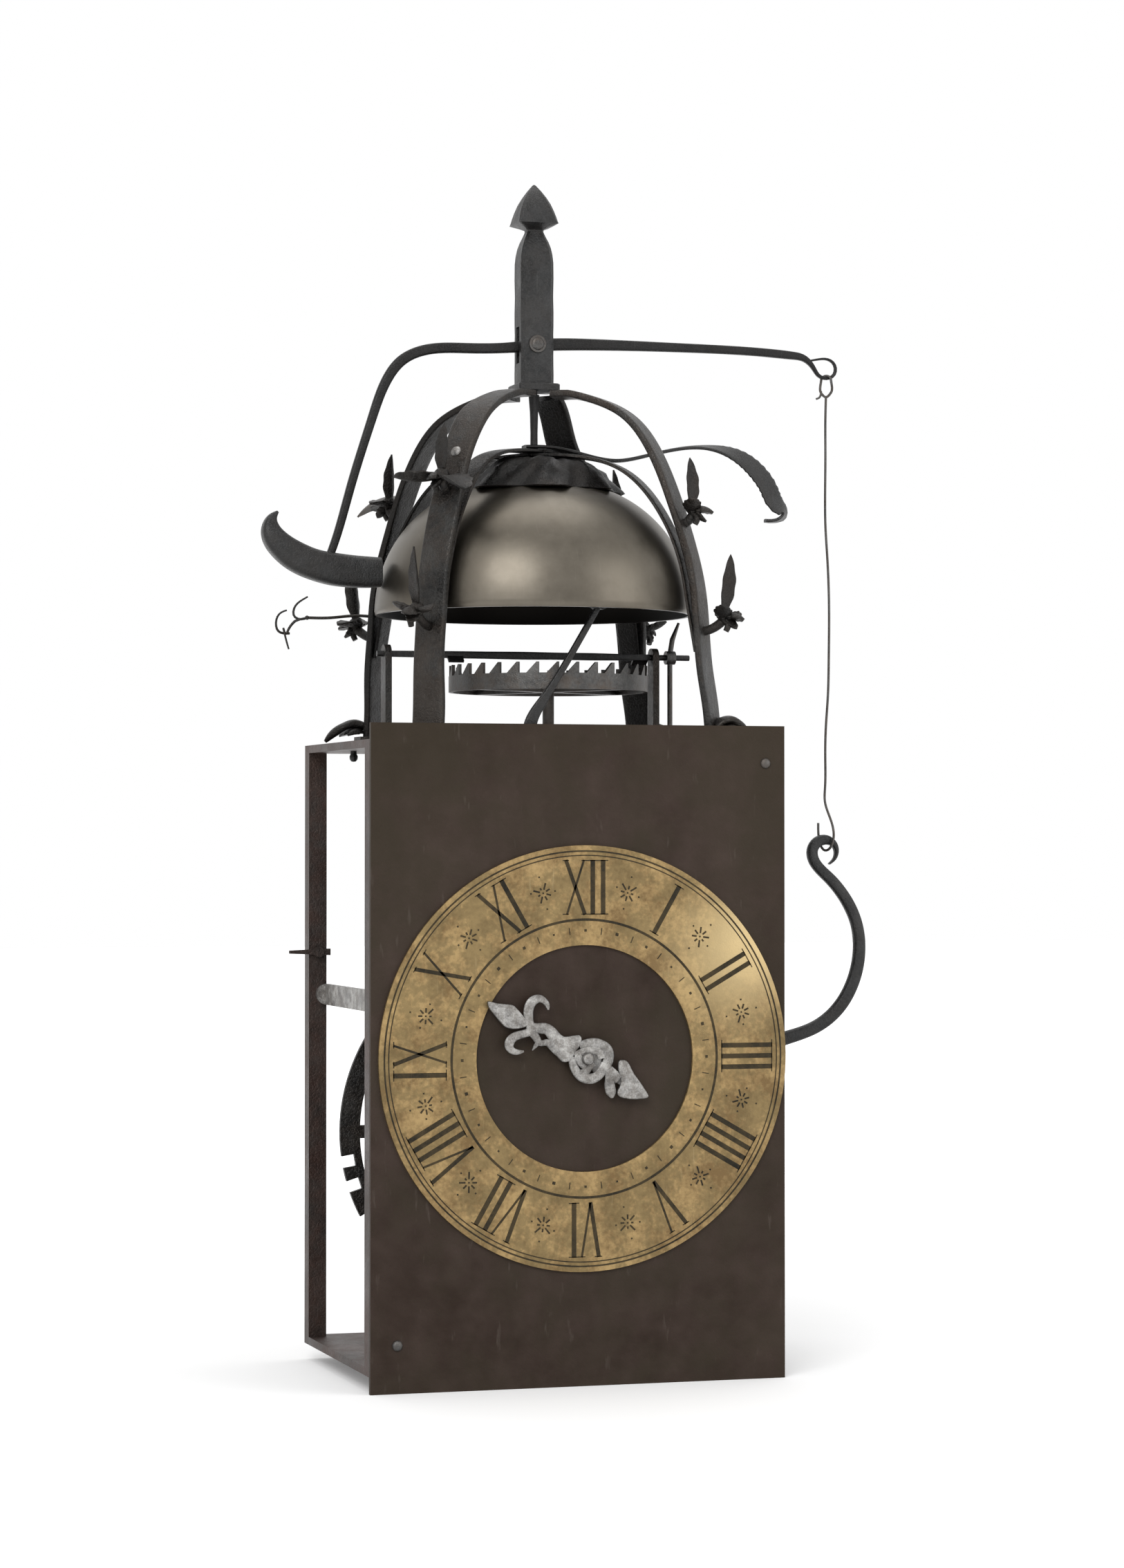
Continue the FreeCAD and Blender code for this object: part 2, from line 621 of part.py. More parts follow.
# Locking wheel, with one locking block on its rim, and the fly
locking_y = (78.3, 80.5)
locking = wheel(train_x, locking_z, locking_y[0], locking_y[1], locking_teeth, locking_m,
                90, 5.5, arbor_r, 4.0, 4)
save("locking_wheel", locking)
save("locking_arbor", joined(arbor(train_x, locking_z, middle_bar_y + bar_t + 0.5, back_bar_y - 0.5,
                                   3.5, 3.5)
                             + [pinion(train_x, locking_z, 62.5, 68.5, pinion_leaves, strike_m,
                                       -90 + 180.0 / pinion_leaves)]))
save("fly", joined(arbor(train_x, fly_z, middle_bar_y + bar_t + 0.5, back_bar_y - 0.5, 3.5, 3.5,
                         1.8)
                   + [pinion(train_x, fly_z, 77.8, 81.0, pinion_leaves, locking_m,
                             -90 + 180.0 / pinion_leaves),
                      box(train_x - 16.5, train_x + 16.5, 60, 74, fly_z - 0.5, fly_z + 0.5),
                      disc(train_x, fly_z, 60, 74, 3.0)]))

# Count wheel: the rim is divided into ninety, a notch one division wide and then a
# land as many divisions long as the blows of that hour
count_y = (89.6, 91.6)
count_notch = 5.0
count_first = 187.5
division = 4.0
notch_starts = []
start = count_first
for hour in range(1, 13):
    notch_starts.append(start)
    start += division * (hour + 1)
count_rim = disc(train_x, count_z, count_y[0], count_y[1], count_r)
count_rim = count_rim.cut(disc(train_x, count_z, count_y[0], count_y[1], count_r - count_rim_w))
count_parts = [count_rim, disc(train_x, count_z, 86.3, 93.2, 8.0)]
for k in range(8):
    arm = box(0, count_r - 5, count_y[0], count_y[1], -2.5, 2.5)
    arm.rotate(Vec(0, 0, 0), AXIS_Y, 45 * k)
    arm.translate(Vec(train_x, 0, count_z))
    count_parts.append(arm)
count_parts.append(wheel(train_x, count_z, 87.0, 89.0, count_teeth, count_m,
                         -90 + 180.0 / count_teeth, 11.0, 2.0, 4.5, 4))
count_wheel = joined(count_parts)
notches = []
for begin in notch_starts:
    middle = begin + division / 2
    notch = box(count_r - count_notch, count_r + 2, count_y[0], count_y[1], -2.3, 2.3)
    notch.rotate(Vec(0, 0, 0), AXIS_Y, -middle)
    notch.translate(Vec(train_x, 0, count_z))
    notches.append(notch)
count_wheel = count_wheel.cut(notches + [disc(train_x, count_z, 80, 100, count_stud_r + run_gap)])
save("count_wheel", count_wheel)

# Let-off lever across the frame, from strap to strap
let_off = joined([
    rod((-71.6, let_off_y, let_off_z), (71.6, let_off_y, let_off_z), 1.8),
    rod((-74.8, let_off_y, let_off_z), (74.8, let_off_y, let_off_z), pivot_r),
    box(38.0, 41.0, 8.0, let_off_y, let_off_z - 1.5, let_off_z + 1.5),
    box(-41.5, -38.5, let_off_y, 80.5, let_off_z - 1.5, let_off_z + 1.5),
    box(-41.5, -26.0, 78.0, 80.5, let_off_z - 4.0, let_off_z),
    box(-29.0, -26.0, 78.0, 80.5, 113.0, let_off_z),
])
save("let_off_lever", let_off)

# A bar of even section that follows points in a plane of constant Y: a smooth curve
# through them, offset to both sides.
def side_points(points, half):
    left, right = [], []
    for k, point in enumerate(points):
        before = points[max(k - 1, 0)]
        after = points[min(k + 1, len(points) - 1)]
        dx, dz = after[0] - before[0], after[1] - before[1]
        size = math.hypot(dx, dz)
        width = half[k] if isinstance(half, (list, tuple)) else half
        left.append((point[0] - dz / size * width, point[1] + dx / size * width))
        right.append((point[0] + dz / size * width, point[1] - dx / size * width))
    return left, right


def smooth_edge(points):
    curve = Part.BSplineCurve()
    curve.interpolate([Vec(x, 0, z) for x, z in points])
    return curve.toShape()


def curved_bar(points, half, y0, y1):
    left, right = side_points(points, half)
    edges = [smooth_edge(left), Part.makeLine(Vec(left[-1][0], 0, left[-1][1]),
                                              Vec(right[-1][0], 0, right[-1][1])),
             smooth_edge(right[::-1]), Part.makeLine(Vec(right[0][0], 0, right[0][1]),
                                                     Vec(left[0][0], 0, left[0][1]))]
    face = Part.Face(Part.Wire(edges))
    face.translate(Vec(0, y0, 0))
    return face.extrude(Vec(0, y1 - y0, 0))


# Count detent: a lever on a stud of the back bar, with its nose over the count wheel's rim
detent_arm = curved_bar([(train_x, detent_z), (14.0, 176.5), (28.0, 168.0), (35.5, 158.5)],
                        [3.2, 2.2, 1.9, 1.7], count_y[0], count_y[1])
detent_nose = curved_bar([(35.9, 159.6), (34.3, 156.3), (33.1, 153.7)], [1.9, 1.7, 1.0], count_y[0], count_y[1])
detent = joined([detent_arm, detent_nose, disc(train_x, detent_z, 87.0, count_y[1], 4.2)])
detent = detent.cut(disc(train_x, detent_z, 86, 94, detent_stud_r + run_gap))
save("count_detent", detent)

# The S-shaped pull lever with its eye, its arbor and the tail beside the pins
pull_curve = [(34, 119.3), (60, 119.6), (85, 121.0), (102, 124.8), (112.3, 128.4), (121.0, 134.8),
              (127.0, 143.7), (129.9, 152.6), (130.5, 162.3), (128.6, 172.1), (123.6, 180.4),
              (117.4, 186.4), (114.6, 191.6)]
pull_half = [2.9, 2.8, 2.8, 2.8, 2.8, 2.8, 2.8, 2.8, 2.8, 2.8, 2.7, 2.5, 2.3]
pull_lever = joined([
    curved_bar(pull_curve, pull_half, pull_front, pull_back),
    disc(pull_eye[0], pull_eye[1], pull_front + 0.4, pull_back - 0.4, 6.5),
    disc(pull_pivot[0], pull_pivot[1], pull_front, pull_back, 6.5),
    disc(pull_pivot[0], pull_pivot[1], pull_front, middle_bar_y - 0.3, 3.2),
    disc(pull_pivot[0], pull_pivot[1], middle_bar_y - 0.3, back_bar_y + bar_t + 0.5, pivot_r),
    disc(pull_pivot[0], pull_pivot[1], middle_bar_y + bar_t + 0.3, back_bar_y - 0.3, 2.4),
    disc(pull_pivot[0], pull_pivot[1], 59.2, 62.2, 5.0),
])
tail_end = (17.5, 88.5)
tail_bar = curved_bar([pull_pivot, (25.0, 105.5), tail_end], [3.0, 2.4, 1.4], 59.2, 62.2)
pull_lever = joined([pull_lever, tail_bar])
pull_lever = pull_lever.cut(disc(pull_eye[0], pull_eye[1], pull_front - 1, pull_back + 1, 3.1))
save("pull_lever", pull_lever)

# Top lever: rocks on a pin through the slotted post. Its left arm carries the
# hammer head, its right arm ends in an eye for the wire.
lever_y0 = bell_y - lever_t / 2
lever_y1 = bell_y + lever_t / 2
lever_curve = [(-84.3, 304.5), (-82.0, 310.2), (-74.8, 334.0), (-66.1, 361.5), (-60.6, 375.5),
               (-55.0, 382.8),
               (-46.0, 387.2), (-30.0, 388.6), (-11.0, 389.6), (-2.8, 390.6), (20.0, 391.8),
               (60.0, 392.0), (99.0, 391.4), (106.5, 390.6), (111.5, 388.2)]
lever_half = [1.5, 1.5, 1.6, 1.7, 1.9, 2.0, 2.0, 2.0, 2.1, 2.3, 2.2, 1.7, 1.4, 1.4, 1.4]
strike_lever = joined([
    curved_bar(lever_curve, lever_half, lever_y0, lever_y1),
    disc(lever_pivot[0], lever_pivot[1], lever_y0, lever_y1, 3.6),
    disc(lever_eye[0], lever_eye[1], lever_y0 + 0.5, lever_y1 - 0.5, 5.5),
])
strike_lever = strike_lever.cut([
    disc(lever_eye[0], lever_eye[1], lever_y0 - 1, lever_y1 + 1, 3.6),
    disc(lever_pivot[0], lever_pivot[1], lever_y0 - 1, lever_y1 + 1, 1.8 + run_gap),
])

# Hammer head: a curved horn, thick at the flat striking face and pointed at its tip
horn_curve = [(-63.3, 302.4), (-76, 302.7), (-89.0, 304.9), (-100.0, 310.4), (-106.0, 317.6), (-102.6, 324.8)]
horn_half = [5.8, 6.2, 6.1, 5.4, 3.8, 0.6]
horn = curved_bar(horn_curve, horn_half, bell_y - 5.0, bell_y + 5.0)
strike_lever = strike_lever.cut(horn)
save("strike_lever", strike_lever)
save("hammer_head", horn)

# Finial post with a slot for the lever, a neck and a spearhead
post_half_w = 6.6
post_half_t = 5.8
post_base_half = 8.2


# The post's outline, drawn in X and Z for one half width and carried right through.
def post_slab(half, barb):
    base_z = cage_top_z + 2.5
    neck = half * 0.48
    edges = Part.makePolygon([Vec(-half, 0, 423), Vec(-half, 0, base_z), Vec(half, 0, base_z),
                              Vec(half, 0, 423)]).Edges
    edges.append(Part.Arc(Vec(half, 0, 423), Vec(half * 0.8, 0, 429.5), Vec(neck, 0, 434.2)).toShape())
    edges.append(Part.makeLine(Vec(neck, 0, 434.2), Vec(barb, 0, 436.8)))
    edges.append(Part.Arc(Vec(barb, 0, 436.8), Vec(barb * 0.72, 0, 444.6), Vec(0, 0, 452.4)).toShape())
    edges.append(Part.Arc(Vec(0, 0, 452.4), Vec(-barb * 0.72, 0, 444.6), Vec(-barb, 0, 436.8)).toShape())
    edges.append(Part.makeLine(Vec(-barb, 0, 436.8), Vec(-neck, 0, 434.2)))
    edges.append(Part.Arc(Vec(-neck, 0, 434.2), Vec(-half * 0.8, 0, 429.5), Vec(-half, 0, 423)).toShape())
    slab = Part.Face(Part.Wire(edges)).extrude(Vec(0, 24, 0))
    slab.translate(Vec(0, -12, 0))
    return slab


side_slab = post_slab(post_half_t, 7.4)
side_slab.rotate(Vec(0, 0, 0), AXIS_Z, 90)
finial = post_slab(post_half_w, 8.2).common(side_slab)
finial.translate(Vec(bell_x, bell_y, 0))
post_base = box(bell_x - post_base_half, bell_x + post_base_half, bell_y - post_base_half,
                bell_y + post_base_half, cage_top_z, cage_top_z + 2.5)
finial = joined([finial, post_base])
finial = finial.cut([
    box(bell_x - 10, bell_x + 10, bell_y - 2.0, bell_y + 2.0, 383.5, 397.5),
    disc(lever_pivot[0], lever_pivot[1], bell_y - 6, bell_y + 6, 1.8),
    Part.makeCylinder(1.3, 4, Vec(bell_x, bell_y, cage_top_z)),
])
save("finial_post", finial)
pin = joined([
    disc(lever_pivot[0], lever_pivot[1], bell_y - post_half_t, bell_y + post_half_t, 1.8),
    disc(lever_pivot[0], lever_pivot[1], bell_y - post_half_t - 1.3, bell_y - post_half_t, 3.4),
    disc(lever_pivot[0], lever_pivot[1], bell_y + post_half_t, bell_y + post_half_t + 1.3, 3.4),
])
save("lever_pin", pin)

# Pull wire with a closed loop at each end
straight_r = 0.55
top_loop = (375.1, 384.9, 2.4)
low_loop = (197.3, 206.6, 2.7)


# A long wire eye in the plane across the levers, from its low end to its high end.
def wire_eye(x, low, high, bend):
    low_z = low + wire_r + bend
    high_z = high - wire_r - bend
    front, back = bell_y - bend, bell_y + bend
    path = Part.Wire([
        Part.makeLine(Vec(x, front, low_z), Vec(x, front, high_z)),
        Part.Arc(Vec(x, front, high_z), Vec(x, bell_y, high_z + bend), Vec(x, back, high_z)).toShape(),
        Part.makeLine(Vec(x, back, high_z), Vec(x, back, low_z)),
        Part.Arc(Vec(x, back, low_z), Vec(x, bell_y, low_z - bend), Vec(x, front, low_z)).toShape(),
    ])
    section = Part.Wire(Part.makeCircle(wire_r, Vec(x, front, low_z), AXIS_Z))
    return path.makePipeShell([section], True, True)


pull_wire = [wire_eye(lever_eye[0], *top_loop), wire_eye(pull_eye[0], *low_loop)]
pull_wire.append(rod((lever_eye[0], bell_y, top_loop[0] + wire_r),
                     (pull_eye[0], bell_y, low_loop[1] - wire_r), straight_r))
save("pull_wire", joined(pull_wire))

# Inner hammer: a flat bent arm on an arbor under the top plate. It comes up through
# the notch, slants across the escapement and ends inside the bell.
inner_curve = [(-18.2, 226.0), (-18.2, 238.0), (-17.6, 244.5), (-13.5, 252.0), (2.7, 278.0), (9.0, 289.0)]
inner_half = [3.4, 3.3, 3.2, 2.8, 1.6, 1.2]
inner_t = 2.4
inner_head = (8.6, 289.5)
lug_xs = (-30.0, -5.5)
lug_half = 1.25
inner_hammer = joined([
    curved_bar(inner_curve, inner_half, inner_pivot_y - inner_t / 2, inner_pivot_y + inner_t / 2),
    disc(inner_head[0], inner_head[1], -1.0, 8.0, 2.8),
    rod((lug_xs[0] - 2.5, inner_pivot_y, inner_pivot_z), (lug_xs[1] + 2.5, inner_pivot_y, inner_pivot_z),
        pivot_r),
    rod((-22.5, inner_pivot_y, inner_pivot_z), (-13.9, inner_pivot_y, inner_pivot_z), 2.6),
])
save("inner_hammer", inner_hammer)
lug_parts = []
for x in lug_xs:
    lug = box(x - lug_half, x + lug_half, inner_pivot_y - 3, inner_pivot_y + 3, inner_pivot_z - 3, top_low)
    lug = lug.cut(rod((x - 2, inner_pivot_y, inner_pivot_z), (x + 2, inner_pivot_y, inner_pivot_z),
                      pivot_r + run_gap))
    lug_parts.append(lug)
save("hammer_lugs", Part.makeCompound(lug_parts))

# Bell: a turned bowl with a rounded shoulder and a thicker lip
bell_h = bell_top_z - bell_rim_z


def bell_curve(inset, low, points):
    line = []
    for k in range(points):
        angle = math.radians(90.0 * k / (points - 1))
        radius = (bell_r - inset) * math.cos(angle) ** 0.82
        line.append(Vec(radius, 0, low + (bell_h - (low - bell_rim_z) - inset) * math.sin(angle)))
    return line


outer_line = bell_curve(0, bell_rim_z, 7)
inner_line = bell_curve(bell_wall, bell_rim_z, 7)
outer_line[-1] = Vec(1.3, 0, outer_line[-1].z)
inner_line[-1] = Vec(1.3, 0, inner_line[-1].z)
outer_curve = Part.BSplineCurve()
outer_curve.interpolate(outer_line)
inner_curve = Part.BSplineCurve()
inner_curve.interpolate(inner_line[::-1])
bell_wire = Part.Wire([outer_curve.toShape(), Part.makeLine(outer_line[-1], inner_line[-1]),
                       inner_curve.toShape(), Part.makeLine(inner_line[0], outer_line[0])])
bell = Part.Face(bell_wire).revolve(Vec(0, 0, 0), AXIS_Z, 360)
bell.translate(Vec(bell_x, bell_y, 0))
save("bell", bell)
stem = joined([
    Part.makeCylinder(1.3, cage_top_z + 3 - (bell_top_z - 7), Vec(bell_x, bell_y, bell_top_z - 7)),
    Part.makeCylinder(4.2, 2.6, Vec(bell_x, bell_y, bell_top_z - bell_wall - 2.6)),
    Part.makeCylinder(4.2, 3.0, Vec(bell_x, bell_y, bell_top_z)),
]).cut(bell)
save("bell_stem", stem)

# Cage legs, drawn in the upright plane through the bell's axis and the leg's foot
leg_feet = {
    "front_left": (-56.4, 7.4),
    "front_right": (54.6, 7.4),
    "back_left": (-54.6, 97.5),
    "back_right": (55.8, 97.5),
}
leg_head = [(8.8, 371.6), (13, 371.5), (22, 369.5), (38.6, 361.6), (50, 346), (57.3, 328), (62.5, 312),
            (65.8, 298), (67.4, 283), (68.8, 266)]


spray_heights = {"front_left": 336.0, "front_right": 326.0, "back_left": 332.0, "back_right": 328.0}
toe_reach = {"front_right": 0.75, "back_left": 1.0, "back_right": 0.75}


def leg_place(name):
    x, y = leg_feet[name]
    reach = math.hypot(x - bell_x, y - bell_y)
    angle = math.degrees(math.atan2(y - bell_y, x - bell_x))
    return reach, angle


def in_leg_plane(shape, angle):
    placed = shape.copy()
    placed.rotate(Vec(0, 0, 0), AXIS_Z, angle)
    placed.translate(Vec(bell_x, bell_y, 0))
    return placed


# A pointed petal from a start point along a direction in the leg's plane, its broad
# face across that plane unless it is turned.
def petal(start, direction, length, width, thick, turn=0.0):
    shape = leaf_face(length, width).extrude(Vec(0, 0, thick))
    shape.translate(Vec(0, 0, -thick / 2))
    shape.rotate(Vec(0, 0, 0), AXIS_X, turn)
    shape.rotate(Vec(0, 0, 0), AXIS_Y, -direction)
    shape.translate(Vec(*start))
    return shape


# Distance of the leg's middle line from the bell's axis at a height.
def leg_s(z):
    for (s0, z0), (s1, z1) in zip(leg_head, leg_head[1:]):
        if z1 <= z <= z0:
            return s0 + (s1 - s0) * (z0 - z) / (z0 - z1)
    return leg_head[-1][0]


def flower(z0, out, petal_l, lean):
    s0 = leg_s(z0 - 6)
    boss_s = s0 + out
    parts = [
        rod((s0, 0, z0 - 6), (boss_s, 0, z0 - 1.5), 1.6, 1.9),
        Part.makeSphere(3.2, Vec(boss_s, 0, z0), AXIS_Y),
        petal((boss_s - 1.0, 0, z0), lean, petal_l, 7.4, 1.5),
        petal((boss_s - 0.5, 0, z0), 8, 9.5, 6.4, 1.8),
        petal((boss_s, 0, z0), -62, 9.0, 5.2, 1.6),
    ]
    for side in (-1, 1):
        cup = petal((0, 0, 0), 0, 10.5, 6.0, 1.6, side * 25)
        cup.rotate(Vec(0, 0, 0), AXIS_Y, -24)
        cup.rotate(Vec(0, 0, 0), AXIS_Z, side * 62)
        cup.translate(Vec(boss_s - 1, side, z0 - 0.5))
        parts.append(cup)
    return joined(parts)


legs = {}
sprays = {}
below = box(-100, 100, -50, 150, top_high - 20, top_high)
above = box(-100, 100, -50, 150, cage_top_z, cage_top_z + 20)
for name in leg_feet:
    reach, angle = leg_place(name)
    line = leg_head + [(reach - 0.9, 250), (reach, top_high - 0.5)]
    leg = in_leg_plane(curved_bar(line, leg_t / 2, -leg_w / 2, leg_w / 2), angle)
    if name in toe_reach:
        k = toe_reach[name]
        toe_side = -1 if "left" in name else 1
        toe_x, toe_y = leg_feet[name]
        toe = curved_bar([(-1, 243.6), (4.5 * k, 246.6), (10.5 * k, 245.0), (15.0 * k, 241.8), (17.2 * k, 239.2)],
                         [1.4, 1.8, 1.8, 1.4, 0.8], -5, 5)
        outline = leaf_face(36 * k, 10.0, -17 * k).extrude(Vec(0, 0, 40))
        outline.translate(Vec(0, 0, 230))
        toe = toe.common(outline)
        if toe_side < 0:
            toe.rotate(Vec(0, 0, 0), AXIS_Z, 180)
        toe.translate(Vec(toe_x + toe_side * 1.6, toe_y, 0))
        leg = joined([leg, toe])
    legs[name] = leg.cut([below, above])
    save("leg_" + name, legs[name])
    flowers = [flower(spray_heights[name], 4.6, 21.0, 92), flower(285.5, 9.0, 25.0, 78)]
    sprays[name] = Part.makeCompound([in_leg_plane(item, angle).cut(legs[name]) for item in flowers])
    save("spray_" + name, sprays[name])

# Inner hoops that hug the bell, from leg to leg over its top
hoop_curve = [(66.4, 272), (65.0, 280), (63.6, 288), (60.8, 304), (51.6, 325.5), (36.5, 341.5),
              (22.0, 346.6), (0, 348.4)]
hoops = []
for lift, pair in ((0.0, ("front_right", "back_left")),
                   (hoop_t + 0.1, ("front_left", "back_right"))):
    halves = []
    for leg_name in pair:
        reach, angle = leg_place(leg_name)
        line = [(s, z + (lift if z > 340 else 0)) for s, z in hoop_curve]
        halves.append(in_leg_plane(curved_bar(line, hoop_t / 2, -hoop_w / 2, hoop_w / 2), angle))
    hoop = joined(halves).cut([Part.makeCylinder(1.3, 20, Vec(bell_x, bell_y, 342))]
                              + [legs[leg_name] for leg_name in pair])
    hoops.append(hoop)
save("bell_hoops", Part.makeCompound(hoops))

# Arched leaf spring over the right side of the bell, held under the bell's stem nut
# and widening to a hooked end
leaf_line = [(-6.5, 351.6), (4.0, 351.6), (16.0, 349.6), (30.5, 347.4), (41.7, 349.6), (51.4, 352.2),
             (64.4, 354.2), (74.2, 353.7), (84.0, 350.9), (92.2, 345.4), (97.2, 339.4), (100.5, 333.2),
             (101.0, 329.2), (98.0, 327.4), (92.4, 326.4)]
leaf = curved_bar(leaf_line, 0.45, bell_y - 5, bell_y + 5)
taper = polygon([Vec(-9, bell_y - 3.2, 300), Vec(3, bell_y - 3.2, 300), Vec(12, bell_y - 1.8, 300),
                 Vec(58, bell_y - 1.8, 300), Vec(86, bell_y - 4.5, 300), Vec(110, bell_y - 4.5, 300),
                 Vec(110, bell_y + 4.5, 300), Vec(86, bell_y + 4.5, 300), Vec(58, bell_y + 1.8, 300),
                 Vec(12, bell_y + 1.8, 300), Vec(3, bell_y + 3.2, 300),
                 Vec(-9, bell_y + 3.2, 300)]).extrude(Vec(0, 0, 80))
leaf = leaf.common(taper).cut(Part.makeCylinder(1.3, 20, Vec(bell_x, bell_y, 342)))
save("arched_leaf", leaf)

# Thin wire flower on the left, beyond the back left leg
flower_y = 96.0
flower_x = -81.0
flower_z = 287.5
wire_flower = [rod((-52.0, flower_y, flower_z + 0.6), (flower_x, flower_y, flower_z), 0.8)]
for dx, dz in ((-9.5, 8.6), (-13.0, 2.0), (-12.5, -7.0), (-7.0, -14.0), (-3.0, 8.0)):
    wire_flower.append(rod((flower_x, flower_y, flower_z), (flower_x + dx, flower_y, flower_z + dz),
                           0.9, 0.45))
wire_flower.append(Part.makeSphere(1.3, Vec(flower_x, flower_y, flower_z)))
wire_flower = joined(wire_flower).cut([legs["back_left"], sprays["back_left"]])
save("wire_flower", wire_flower)
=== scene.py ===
import bpy
import bmesh
import json
import math
import numpy as np
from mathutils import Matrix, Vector


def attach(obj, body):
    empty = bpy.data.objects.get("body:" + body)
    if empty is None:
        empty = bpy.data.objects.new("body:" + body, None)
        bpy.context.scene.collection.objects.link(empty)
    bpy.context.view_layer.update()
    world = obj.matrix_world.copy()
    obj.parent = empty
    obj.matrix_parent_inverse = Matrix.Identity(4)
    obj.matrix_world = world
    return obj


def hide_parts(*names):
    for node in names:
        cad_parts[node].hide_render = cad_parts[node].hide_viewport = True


# Looks of a weight-driven chamber clock. Sizes are millimetres in the clock's own
# frame: X to the right of the dial, Y to the back, Z up.

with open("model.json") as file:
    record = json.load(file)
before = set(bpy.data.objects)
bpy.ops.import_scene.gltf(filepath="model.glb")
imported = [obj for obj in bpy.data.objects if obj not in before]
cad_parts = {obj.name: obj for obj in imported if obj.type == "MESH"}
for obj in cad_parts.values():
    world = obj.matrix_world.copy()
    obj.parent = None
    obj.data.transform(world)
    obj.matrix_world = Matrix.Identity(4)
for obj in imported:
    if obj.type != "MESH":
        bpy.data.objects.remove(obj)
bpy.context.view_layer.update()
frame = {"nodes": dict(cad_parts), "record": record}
print("frame loaded:", len(frame["nodes"]), "nodes")

clock = {
    "bellX": -2.5, "bellY": 51.5,
    "dialX": 1.4, "dialZ": 120.7,
    "plateTop": 238.0,
    "edgeAngle": 38.0,
}
bellAxis = np.array([clock["bellX"], clock["bellY"], 0.0])


# ---- shapes

# Quads between neighbouring rows and columns of a grid of points. A closed grid's last
# column joins its first.
def gridFaces(rows, cols, closed=True, start=0):
    r = np.arange(rows - 1)[:, None]
    c = np.arange(cols if closed else cols - 1)[None, :]
    a = r * cols + c
    b = r * cols + (c + 1) % cols
    return (np.stack([a, b, b + cols, a + cols], -1).reshape(-1, 4) + start).tolist()


# Joins several (points, faces) pairs in one pair.
def gather(parts):
    points, faces, start = [], [], 0
    for p, f in parts:
        points.append(np.asarray(p, float))
        faces += [[i + start for i in face] for face in f]
        start += len(p)
    return np.concatenate(points), faces


# Puts points in millimetres and their faces in a mesh that rides on a body. The share of black is a
# function of the points for each one: mostly painted shade where a piece lies in shade, and a plain darkening on the
# top lever and sprays.
def makePiece(name, shape, body, material, replaced=(), angle=None, shadeAndBlack=None):
    points, faces = shape
    mesh = bpy.data.meshes.new(name)
    mesh.from_pydata((points * 0.001).tolist(), [], faces)
    work = bmesh.new()
    work.from_mesh(mesh)
    bmesh.ops.remove_doubles(work, verts=work.verts, dist=1e-7)
    bmesh.ops.recalc_face_normals(work, faces=work.faces)
    work.to_mesh(mesh)
    work.free()
    mesh.polygons.foreach_set("use_smooth", np.ones(len(mesh.polygons), bool))
    mesh.set_sharp_from_angle(angle=math.radians(angle or clock["edgeAngle"]))
    mesh.materials.append(material)
    if shadeAndBlack is not None:
        spots = np.empty(len(mesh.vertices) * 3)
        mesh.vertices.foreach_get("co", spots)
        shade = np.broadcast_to(shadeAndBlack(spots.reshape(-1, 3) * 1000.0), len(mesh.vertices))
        mesh.attributes.new("shadeAndBlack", "FLOAT", "POINT").data.foreach_set("value", shade.astype(np.float32))
    piece = bpy.data.objects.new(name, mesh)
    bpy.context.scene.collection.objects.link(piece)
    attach(piece, body)
    if replaced:
        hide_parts(*replaced)
    return piece


# Natural cubic spline through points, by the distance along their first columns. The
# other columns, such as widths, are carried along with it.
def smoothLine(points, count, reach=None):
    p = np.asarray(points, float)
    cols = reach or 2
    s = np.r_[0, np.cumsum(np.linalg.norm(np.diff(p[:, :cols], axis=0), axis=1))]
    n, h = len(p), np.diff(s)
    m = np.eye(n)
    rhs = np.zeros_like(p)
    k = np.arange(1, n - 1)
    m[k, k - 1], m[k, k], m[k, k + 1] = h[k - 1], 2 * (h[k - 1] + h[k]), h[k]
    rhs[1:-1] = 6 * (np.diff(p, axis=0)[1:] / h[1:, None] - np.diff(p, axis=0)[:-1] / h[:-1, None])
    c = np.linalg.solve(m, rhs)
    t = np.linspace(0, s[-1], count)
    i = np.clip(np.searchsorted(s, t, side="right") - 1, 0, n - 2)
    a, b, w = (s[i + 1] - t)[:, None], (t - s[i])[:, None], h[i][:, None]
    return ((c[i] * a ** 3 + c[i + 1] * b ** 3) / (6 * w) + (p[i] / w - c[i] * w / 6) * a
            + (p[i + 1] / w - c[i + 1] * w / 6) * b)


# Section between an ellipse (power 2) and a box (high power): |x|^power + |y|^power = 1.
def barSection(power, count=20):
    t = np.linspace(0, 2 * np.pi, count, endpoint=False) + np.pi / count
    c, s = np.cos(t), np.sin(t)
    return np.stack([np.sign(c) * np.abs(c) ** (2 / power), np.sign(s) * np.abs(s) ** (2 / power)], -1)


# Carries a closed section along a path: point = path + u * side + v * across, where
# side and across already have their sizes. Both ends are closed with a fan.
def carry(path, side, across, section):
    rows, cols = len(path), len(section)
    grid = (path[:, None] + section[None, :, :1] * side[:, None] + section[None, :, 1:] * across[:, None])
    points = np.concatenate([grid.reshape(-1, 3), path[:1], path[-1:]])
    k = np.arange(cols)
    first = np.stack([(k + 1) % cols, k, np.full(cols, rows * cols)], -1)
    last = np.stack([k, (k + 1) % cols, np.full(cols, rows * cols + 1)], -1)
    last[:, :2] += (rows - 1) * cols
    return points, gridFaces(rows, cols) + first.tolist() + last.tolist()


# Slow uneven swelling of a hand-forged bar along its length, about one.
def forgedWave(count, amount, seed):
    t = np.linspace(0, 1, count)
    spread = np.random.default_rng(seed)
    f, ph = spread.uniform(3, 15, 5), spread.uniform(0, 6.28, 5)
    return 1 + amount * np.sin(np.outer(t, f) * 2 + ph).mean(1)


